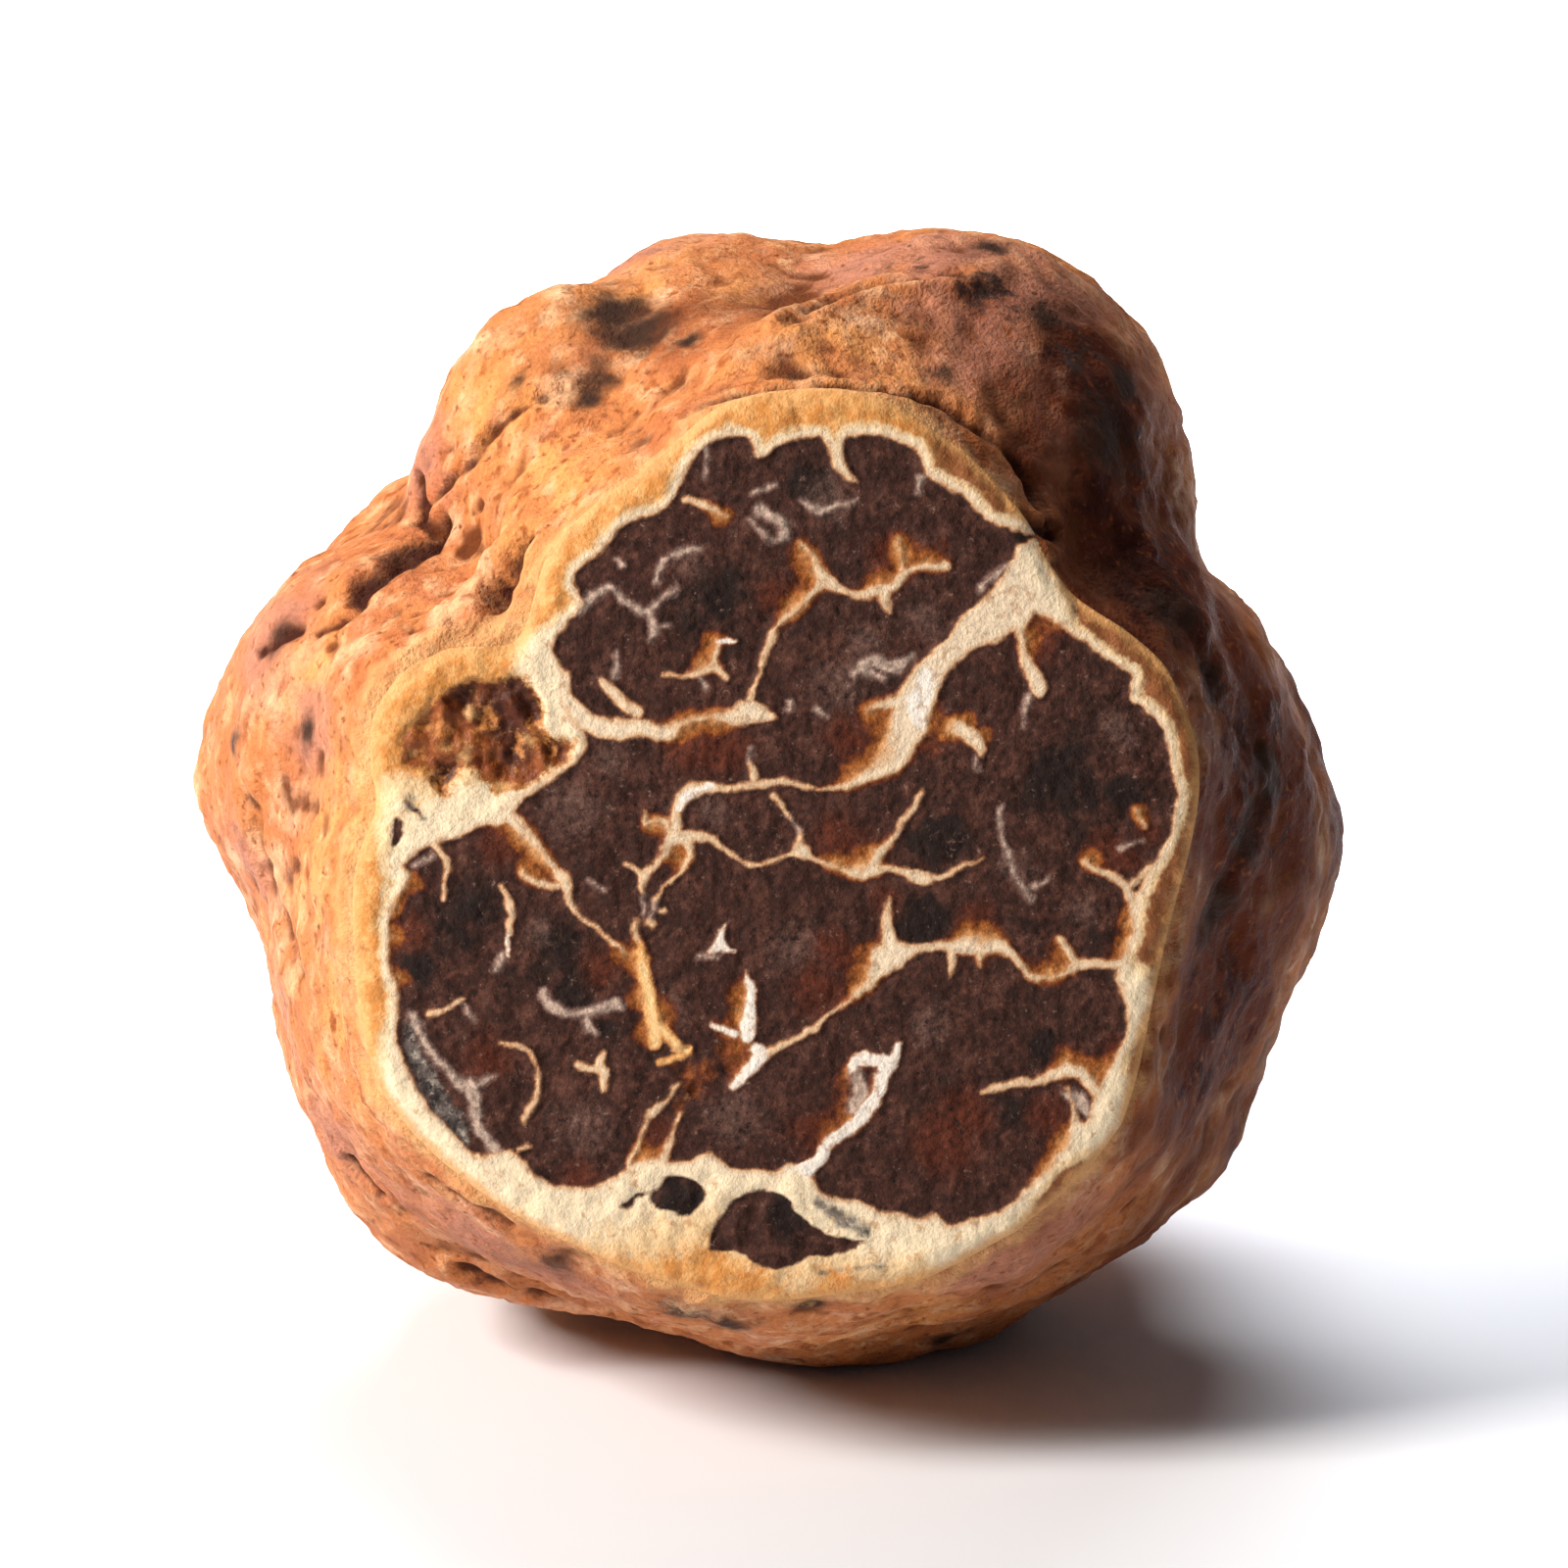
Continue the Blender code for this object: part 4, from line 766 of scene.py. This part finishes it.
# Places on the cut (a, b, radius), each kind of them with its own colour
PLACES = {
    # translucent, rust-stained flesh beside a vein
    "rust": (
        (0.8, 12.8, 1.2), (0.4, 11.6, 1.1), (5.6, 13.5, 1.0), (6.5, 13.7, 1.1), (4.4, 12.6, 0.9),
        (-3.4, 9.4, 0.8), (-3.6, 8.7, 0.7), (-4.2, 5.4, 1.1), (-3.1, 5.5, 0.9), (4.4, 4.6, 1.5),
        (4.2, 5.6, 1.2), (3.3, 3.8, 1.1), (-12.1, 0.3, 1.1), (-11.3, -0.6, 1.0), (-5.8, 0.9, 0.6),
        (-4.8, -0.4, 0.6), (3.6, -0.3, 1.1), (2.7, -0.5, 0.8), (9.2, -3.8, 1.2), (8.4, -3.6, 0.9),
        (12.3, -5.4, 1.0), (15.8, -3.4, 0.8), (15.6, -4.5, 0.7), (14.4, -0.3, 0.8), (11.8, 9.6, 0.9),
        (3.3, -5.7, 1.3), (3.4, -4.8, 1.0), (-2.2, -6.8, 0.8), (-2.1, -7.6, 0.7), (-6.9, -5.2, 0.8),
        (-6.8, -7.0, 0.7), (-6.6, -8.6, 0.7), (-5.1, -7.4, 0.8), (2.6, -11.5, 1.4), (1.7, -12.4, 1.1),
        (13.2, -9.4, 1.1), (14.4, -10.0, 0.9), (12.7, -13.6, 0.9), (12.2, -14.7, 0.8), (-17.7, -2.4, 0.8),
        (-17.4, -4.0, 0.8), (-16.5, -1.7, 0.6), (7.5, 5.6, 0.9), (7.1, 4.4, 0.7), (9.5, 5.3, 0.5),
        (8.6, 6.0, 0.6), (-2.8, 15.0, 0.7), (-7.6, -5.2, 0.6), (-6.2, -14.1, 0.7), (-2.4, -9.6, 0.9),
        (-17.2, -5.9, 0.6), (7.4, 14.2, 0.7), (16.4, 1.6, 0.6),
    ),
    # flesh gone red-brown
    "redder": (
        (-4.4, 4.6, 1.3), (-3.0, 4.4, 1.5), (-2.0, 4.6, 1.0), (3.0, 5.0, 1.4), (15.8, -0.6, 0.9),
        (16.7, 0.6, 0.7), (8.9, -3.3, 1.1), (-13.5, -9.6, 1.5), (-8.2, -5.6, 1.2), (7.6, -13.6, 2.0),
        (8.6, -12.4, 1.6), (12.3, -12.3, 1.2), (1.6, -6.6, 1.6), (2.5, -4.8, 1.3), (-5.6, -13.2, 1.0),
        (1.4, -13.2, 1.3), (-12.9, 0.2, 1.1), (4.7, -2.4, 0.9), (-16.9, -3.8, 1.0), (14.8, 0.2, 0.9),
        (5.0, 13.4, 1.2), (-3.9, -10.7, 1.0), (2.6, 0.4, 1.5), (-0.2, 11.6, 1.1), (15.4, -9.4, 0.9),
        (-9.2, -15.2, 1.2), (11.9, 9.2, 1.0),
    ),
    # powdery, greyer flesh
    "greyer": (
        (-9.5, 1.8, 1.8), (-7.9, 4.1, 1.1), (-9.2, -12.9, 1.8), (-2.2, -12.5, 1.8), (0.6, -4.6, 1.6),
        (6.8, -8.2, 1.3), (2.6, 7.6, 1.8), (10.8, -1.0, 1.1), (2.2, 16.0, 1.5), (0.0, 14.9, 1.0),
        (3.8, 9.4, 1.3), (6.6, 10.4, 1.2), (15.4, 5.4, 1.3), (-5.2, -7.5, 1.2), (13.8, -2.8, 1.0),
        (-11.0, -3.8, 1.0), (-4.2, 13.0, 1.1), (-3.0, 1.6, 1.0),
    ),
    # the darkest flesh
    "darker": (
        (-14.6, -2.6, 1.5), (-14.5, -3.8, 1.4), (-9.2, -6.2, 1.1), (7.2, 0.6, 1.5), (13.2, 3.0, 1.9),
        (-3.0, 11.5, 1.6), (-4.0, 10.4, 1.2), (6.8, -3.1, 1.3), (-8.0, -8.4, 0.8), (1.2, 16.6, 1.1),
        (15.6, 2.8, 1.1), (-10.5, -4.6, 1.5), (10.0, -12.0, 1.1), (0.6, -17.0, 1.2), (-4.6, -16.2, 1.0),
        (-16.6, -5.6, 0.9), (11.2, 14.4, 0.7), (12.0, -9.2, 0.9),
    ),
    "torn": (
        (-2.6, -9.5, 0.8), (-2.3, -10.2, 0.5), (-3.4, -10.2, 0.9), (-4.3, -10.4, 0.8), (-4.0, -11.1, 0.8),
        (-4.6, -11.9, 0.7), (-4.9, -10.0, 0.4), (-4.3, -9.2, 0.3),
    ),
    "rot_core": (
        (-13.2, 6.3, 1.1), (-12.6, 5.3, 1.1), (-12.2, 4.3, 1.0), (-11.4, 6.3, 0.8), (-14.4, 7.0, 0.7),
        (-12.0, 7.4, 0.8), (-15.3, 3.3, 0.7), (-10.3, 4.7, 0.7),
    ),
    "rot_pale": (
        (-14.5, 4.4, 0.9), (-14.1, 6.2, 0.6), (-11.6, 5.0, 0.6), (-16.3, 6.6, 0.8), (-15.3, 4.6, 0.6),
        (-12.8, 2.7, 0.6), (-16.9, 4.4, 0.5),
    ),
}
# How far the cream reaches out from the gleba before the rind takes the skin's colour: mostly little,
# and more at these places (a, b, radius)
CREAM_REACH = 0.55
WIDE_CREAM = 4.2  # what the broadest places add
BROAD_CREAM = (
    (-13.5, -16.0, 3.0), (-9.5, -17.4, 3.2), (-5.5, -17.2, 4.2), (-0.5, -18.0, 4.2), (4.0, -17.8, 3.4),
    (8.0, -18.2, 2.4), (-16.8, -12.0, 2.2), (-15.0, 1.4, 2.8), (-17.6, 2.4, 2.0), (-12.5, 2.4, 2.4),
    (-9.9, 5.6, 2.4), (-10.9, 7.4, 1.8), (11.6, 12.4, 1.6), (16.6, -6.8, 1.0), (14.8, -12.4, 1.6),
    (0.5, -20.0, 2.4),
)


def curved(points, closed=False, steps=4):
    """More points on the smooth curve through these, which keeps each point where it is."""
    points = np.array(points, float)
    before, after = (points[-1:], points[:2]) if closed else (points[:1], points[-1:])
    padded = np.vstack((before, points, after))
    curve = []
    for p, q, r, s in zip(padded, padded[1:], padded[2:], padded[3:]):
        for t in np.arange(steps) / steps:
            square, cube = 2 * p - 5 * q + 4 * r - s, 3 * q - 3 * r + s - p
            curve.append(0.5 * (2 * q + (r - p) * t + square * t**2 + cube * t**3))
    return np.array(curve if closed else curve + [points[-1]])


def from_bands(spots, bands):
    """Each spot's distance to the nearest band's edge, less than nothing inside it."""
    best = np.full(len(spots), 9.0)
    for band in bands:
        curve = curved(band)
        for start, end in zip(curve[:-1], curve[1:]):
            side = (end - start)[:2]
            along = np.clip((spots - start[:2]) @ side / (side @ side), 0.0, 1.0)
            nearest = start[:2] + along[:, None] * side
            half_width = start[2] + along * (end[2] - start[2])
            best = np.minimum(best, np.linalg.norm(spots - nearest, axis=1) - half_width)
    return best


def signed(spots, outline):
    """Each spot's depth inside a smooth closed outline, less than nothing outside it."""
    inside, distance, _ = against_outline(spots, curved(outline, closed=True))
    return np.where(inside, distance, -distance)


def ripple(length, shift):
    """Smooth noise over the cut, whose forms are about this many millimetres across."""
    return np.array([noise.noise(Vector((a / length + shift, b / length - shift, shift))) for a, b in flat])


def eased(values, start, end):
    """0 before the start, 1 past the end, and an S-curve between."""
    part = np.clip((values - start) / (end - start), 0.0, 1.0)
    return part * part * (3.0 - 2.0 * part)


# The tissue never grew as smooth as the drawing, so the drawing is rippled before it is read
drawn = flat - np.array((DRAWN_FROM, 0.0))
for length, reach in ((1.2, 0.17), (0.42, 0.11)):
    drawn = drawn + reach * np.column_stack((ripple(length, 3.1), ripple(length, 7.7)))
from_rind = signed(drawn, GLEBA)
chamber = np.maximum.reduce([from_rind] + [signed(drawn, pocket) for pocket in POCKETS])
values = {name: from_bands(drawn, bands) for name, bands in BANDS.items()}
for name in ("cream", "white", "orange"):
    chamber = np.minimum(chamber, values[name])
del values["cream"]
on_cut = np.column_stack((drawn, np.zeros(len(drawn))))
for name, places in PLACES.items():
    values[name] = closeness(on_cut, [(a, b, 0.0, radius) for a, b, radius in places])
wide = closeness(on_cut, [(a, b, 0.0, radius) for a, b, radius in BROAD_CREAM])
values["chamber"] = chamber
# Past a vein's edge its tan goes on a little way into the dark, and much further where it is rusty
values["halo"] = np.clip(chamber / (0.13 + 1.1 * values["rust"]), -1.0, 2.0)
values["rot"] = signed(drawn, ROTTED)
values["in_rind"] = -from_rind
values["past_cream"] = -from_rind / (CREAM_REACH + WIDE_CREAM * wide)
values["brown_side"] = eased(flat[:, 0] + 0.1 * flat[:, 1], 6.0, 11.0)

crumbs = ripple(0.85, 1.3)
fine_crumbs = ripple(0.35, 5.9)
sunk = eased(chamber, -0.12, 0.28)
level = CHAMBER_CROWN * eased(chamber, 0.2, 1.4) - CHAMBER_SINK * sunk
level += (crumbs * 0.06 + fine_crumbs * 0.05) * (0.3 + sunk)
level += MEMBRANE_RISE * eased(values["faint"], 0.12, -0.12)
rot_depth = ROT_DEPTH + ROT_CORE_DEPTH * values["rot_core"]
level -= eased(values["rot"], -0.1, 0.6) * (rot_depth + 0.45 * crumbs + 0.14 * fine_crumbs)
level -= values["torn"] * (TORN_DEPTH + 0.30 * np.abs(crumbs) + 0.12 * fine_crumbs)
level += 0.10 * eased(-from_rind, 0.1, 0.9) * (crumbs + 0.5 * ripple(2.2, 2.2))
fall = np.array([worn_edge(a, b) for a, b in flat])
edge = np.clip(to_rim / RIM_WIDTH, 0.0, 1.0)
level = level * eased(to_rim, 0.0, 0.5) - fall * (1.0 - edge) ** 2
values["to_rim"] = to_rim
for vertex, height in zip(flesh.verts, level):
    vertex.co.z = height
keep_on(flesh, values)
# A skirt tucks the flesh under the skin, so that no gap shows at the rim
border = [e for e in flesh.edges if e.is_boundary]
skirt = bmesh.ops.extrude_edge_only(flesh, edges=border)
skirt_verts = [v for v in skirt["geom"] if isinstance(v, bmesh.types.BMVert)]
bmesh.ops.scale(flesh, verts=skirt_verts, vec=(SKIRT_SHRINK, SKIRT_SHRINK, 1.0))
bmesh.ops.translate(flesh, verts=skirt_verts, vec=(0.0, 0.0, -SKIRT_DEPTH))
bmesh.ops.transform(flesh, verts=flesh.verts, matrix=cut_frame)
bmesh.ops.recalc_face_normals(flesh, faces=flesh.faces)
for face in flesh.faces:
    face.smooth = True
cut_flesh = placed("cut_flesh", as_mesh("cut_flesh", flesh))

# Fresh-cut gleba and sterile vein: matt and velvety where it is dark, a little moist where it is pale
gleba, tree, in_mm = new_material("cut truffle gleba")
value = {name: add(tree, "Attribute", attribute_name=name, out="Fac") for name in values}
# Noises: the size of their largest forms in mm, how many finer ones they carry, and how rough
for name, size, detail, rough in (
    ("fine", 0.40, 4.0, 0.68), ("mottled", 0.9, 4.0, 0.62), ("broad", 2.2, 3.0, 0.50),
    ("velvet", 0.30, 3.0, 0.75), ("flecks", 0.42, 3.5, 0.80), ("crumbs", 1.3, 5.0, 0.68),
    ("shreds", 0.75, 4.0, 0.72), ("fibres", 0.55, 3.0, 0.60),
):
    wanted = {"Vector": in_mm, "Scale": 1.0 / size, "Detail": detail, "Roughness": rough}
    value[name] = add(tree, "TexNoise", wanted)
# The distances in mm, frayed by the finest noise
unfrayed = add(tree, "Math", {0: value["fine"], 1: 0.5}, operation="SUBTRACT")
for name, fray in (
    ("chamber", 0.30), ("halo", 0.9), ("faint", 0.40), ("white", 0.40), ("orange", 0.30),
    ("rot", 1.0), ("mould", 0.8), ("past_cream", 0.9),
):
    value[name] = add(
        tree, "Math", {0: unfrayed, 1: fray, 2: value[name]}, operation="MULTIPLY_ADD"
    )
# Each part of the flesh: its ground colour, then coats over it, broad to fine. A coat is a colour or an
# earlier part, its strength, where it begins and is full, and the weighted sum that this is read from
PARTS = {
    # tan at a vein's edge, cream inside it, white or orange in some, dull in patches, faintly fibrous
    "vein": ("#b5835c", (
        ("#d9b792", 1.0, 0.03, -0.09, {"chamber": 1.0}),
        ("#e9d3b5", 1.0, -0.08, -0.28, {"chamber": 1.0}),
        ("#f4ebe0", 0.9, 0.12, -0.10, {"white": 1.0}),
        ("#b08560", 0.55, 0.54, 0.68, {"fibres": 1.0}),
        ("#c98f58", 0.7, 0.70, 1.15, {"rust": 0.9, "broad": 0.5}),
        ("#dc9a52", 0.95, 0.22, -0.10, {"orange": 1.0}),
        ("#f5cf94", 0.85, 0.00, -0.24, {"orange": 1.0}),
        ("#9a8a7b", 0.50, 0.54, 0.70, {"shreds": 1.0}),
    )),
    # the rind: cream next to the gleba, then the skin's own orange, or brown on the right
    "rind": ("#d08a45", (
        ("#e5ad6c", 0.9, 0.42, 0.62, {"mottled": 1.0}),
        ("#8a5330", 0.96, 0.30, 0.72, {"brown_side": 0.7, "mottled": 0.25}),
        ("#a8683a", 0.7, 0.55, 0.70, {"shreds": 1.0}),
        ("#e6c698", 0.95, 1.25, 0.75, {"past_cream": 1.0}),
        ("#efdcbb", 0.95, 0.75, 0.30, {"past_cream": 1.0}),
        ("#b98550", 0.6, 0.56, 0.70, {"fibres": 1.0}),
        ("#dba266", 0.9, 1.15, 0.55, {"to_rim": 1.0, "crumbs": 1.1}),
    )),
    # nearly black, with lighter, redder and greyer clouds, a pale grain, and rust beside the veins
    "dark": ("#371c14", (
        ("#502f25", 1.0, 0.44, 0.66, {"mottled": 1.0}),
        ("#190c08", 0.9, 0.55, 0.95, {"mottled": -0.5, "darker": 0.6, "broad": 1.4}),
        ("#664b42", 0.75, 0.70, 1.20, {"greyer": 0.5, "flecks": 0.9, "broad": 0.2}),
        ("#54220f", 0.8, 0.55, 1.15, {"redder": 0.75, "broad": 0.6, "mottled": 0.2}),
        ("#8b6e61", 0.65, 0.59, 0.76, {"flecks": 1.0}),
        ("#110705", 0.85, 0.44, 0.30, {"flecks": 1.0}),
        ("#5e2710", 0.85, 0.70, 0.15, {"halo": 1.0, "rust": -0.45}),
        ("#93531f", 0.9, 0.30, -0.20, {"halo": 1.0, "rust": -0.55}),
        ("#c08a55", 0.95, 0.05, -0.45, {"halo": 1.0, "rust": -0.35}),
        ("#80645a", 0.85, 0.22, -0.04, {"faint": 1.0}),
        ("#bfa796", 0.80, 0.06, -0.14, {"faint": 1.0}),
    )),
    # rust and dark brown lumps, with shreds of the pale web left among them
    "rotten": ("#8a4a22", (
        ("#6a2f14", 0.9, 0.50, 0.62, {"crumbs": 1.0}),
        ("#3a170b", 0.9, 0.62, 1.20, {"rot_core": 0.7, "broad": 0.7, "fine": 0.4}),
        ("#b9783e", 0.9, 0.47, 0.36, {"crumbs": 1.0}),
        ("#dcae74", 0.8, 0.78, 1.15, {"rot_pale": 0.55, "shreds": 0.9}),
        ("#c98d4c", 0.8, 0.40, 0.05, {"rot": 1.0}),
    )),
    "torn_up": ("#5e2c14", (
        ("#8a4a20", 1.0, 0.42, 0.62, {"fine": 1.0}),
        ("#d39a5a", 0.8, 0.58, 0.70, {"shreds": 1.0}),
    )),
    "mouldy": ("#6b615b", (
        ("#2b2828", 0.95, 0.44, 0.58, {"mottled": 1.0}),
        ("#b3a89a", 0.85, 0.52, 0.66, {"shreds": 1.0}),
    )),
    # all of them together
    "whole": ("vein", (
        ("rind", 1.0, 0.15, 0.60, {"in_rind": 1.0, "fine": 0.2}),
        ("dark", 1.0, -0.09, 0.13, {"chamber": 1.0}),
        ("mouldy", 0.9, 0.15, -0.30, {"mould": 1.0}),
        ("torn_up", 0.9, 0.66, 1.05, {"torn": 0.75, "mottled": 0.5}),
        ("rotten", 1.0, -0.10, 0.25, {"rot": 1.0}),
    )),
}
made = {}
for part, (ground, coats) in PARTS.items():
    colour = made[ground] if ground in made else linear(ground)
    for over, strength, start, full, terms in coats:
        amount = 0.0
        for name, weight in terms.items():
            amount = add(
                tree, "Math", {0: value[name], 1: weight, 2: amount}, operation="MULTIPLY_ADD"
            )
        amount = add(
            tree, "MapRange",
            {"Value": amount, "From Min": start, "From Max": full, "To Max": strength},
            interpolation_type="SMOOTHSTEP",
        )
        over = made[over] if over in made else linear(over)
        colour = add(
            tree, "Mix", {FACTOR: amount, UNDER: colour, OVER: over}, MIXED, data_type="RGBA"
        )
    made[part] = colour
# The velvet's grain, a third of a millimetre across, strongest in the dark flesh
velvety = add(
    tree, "MapRange",
    {"Value": value["chamber"], "From Min": -0.1, "From Max": 0.3, "To Min": 0.5, "To Max": 2.6},
)
grain = add(tree, "Math", {0: value["velvet"], 1: 0.5}, operation="SUBTRACT")
grain = add(tree, "Math", {0: grain, 1: velvety, 2: 1.0}, operation="MULTIPLY_ADD")
colour = add(tree, "VectorMath", {0: made["whole"], 1: grain}, operation="MULTIPLY")
gloss = add(
    tree, "MapRange",
    {"Value": value["chamber"], "From Min": -0.1, "From Max": 0.2, "To Min": 0.48, "To Max": 0.78},
)
height = add(tree, "Math", {0: value["velvet"], 1: 0.7, 2: value["fine"]}, operation="MULTIPLY_ADD")
bumped = add(tree, "Bump", {"Strength": 0.55, "Distance": 0.00018, "Height": height})
shader = add(
    tree, "BsdfPrincipled",
    {
        "Base Color": colour, "Roughness": gloss, "IOR": 1.40, "Normal": bumped,
        "Specular IOR Level": 0.35,
    },
)
cover(cut_flesh, gleba, shader)
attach(cut_flesh, "root")
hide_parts("truffle")
solid.free()

# ------------------------------------------------------------------------------------------------
# Studio: a pale paper floor, a warm soft lamp from the left, a very weak white one from behind on
# the right, a lamp over the paper behind the truffle, and an even pale surround.

floor = bmesh.new()
bmesh.ops.create_grid(floor, x_segments=1, y_segments=1, size=3.0)
paper_floor = placed("paper_floor", as_mesh("paper_floor", floor))
paper = bpy.data.materials.new("matt white paper")
paper.use_nodes = True
paper_shader = paper.node_tree.nodes["Principled BSDF"]
paper_shader.inputs["Base Color"].default_value = linear("#e9edf5")
paper_shader.inputs["Roughness"].default_value = 0.9
paper_floor.data.materials.append(paper)

surround = bpy.data.worlds.new("surround")
surround.use_nodes = True
backdrop = surround.node_tree.nodes["Background"]
backdrop.inputs["Color"].default_value = linear("#f4f4f6")
backdrop.inputs["Strength"].default_value = 0.06
bpy.context.scene.world = surround

bpy.context.scene.view_settings.view_transform = "Standard"

core = Vector((0.0, -0.0024, 0.0266))  # the middle of the truffle's round body


def direction(azimuth, elevation):
    """Towards this azimuth, from the front round to the right, and elevation, in degrees."""
    turn, lift = math.radians(azimuth), math.radians(elevation)
    return Vector((math.sin(turn) * math.cos(lift), -math.cos(turn) * math.cos(lift), math.sin(lift)))


# The lamps: azimuth, elevation, distance in metres, width in metres, watts and tint
for name, azimuth, elevation, distance, width, power, tint in (
    ("key_lamp", -66, 33, 0.36, 0.12, 2.35, "#fff6ec"),
    ("back_lamp", 145, 40, 0.60, 0.30, 0.08, "#ffffff"),
):
    light = bpy.data.lights.new(name, "AREA")
    light.energy = power
    light.size = width
    light.color = linear(tint)[:3]
    lamp = placed(name, light)
    lamp.location = core + direction(azimuth, elevation) * distance
    lamp.rotation_euler = (-direction(azimuth, elevation)).to_track_quat("-Z", "Y").to_euler()

# A lamp behind lights only the paper there
floor_light = bpy.data.lights.new("floor_lamp", "AREA")
floor_light.energy = 2.4
floor_light.size = 0.24
floor_light.spread = math.radians(70)
floor_lamp = placed("floor_lamp", floor_light)
floor_lamp.location = (0.0, 0.24, 0.34)

# The camera looks a little down on the cut face, from half a metre away
FRAME_WIDTH = 0.074  # what the frame spans at the truffle
VIEW_ELEVATION = 18.0  # degrees
VIEW_DISTANCE = 0.528
lens = bpy.data.cameras.new("camera")
camera = placed("camera", lens)
camera.location = core + direction(0.0, VIEW_ELEVATION) * VIEW_DISTANCE
aim = core + Vector((0.0006, 0.0, 0.0006))
sight = aim - camera.location
lens.sensor_width = 36.0
lens.lens = lens.sensor_width * sight.length / FRAME_WIDTH
lens.clip_start = 0.01
camera.rotation_euler = sight.to_track_quat("-Z", "Y").to_euler()
bpy.context.scene.camera = camera
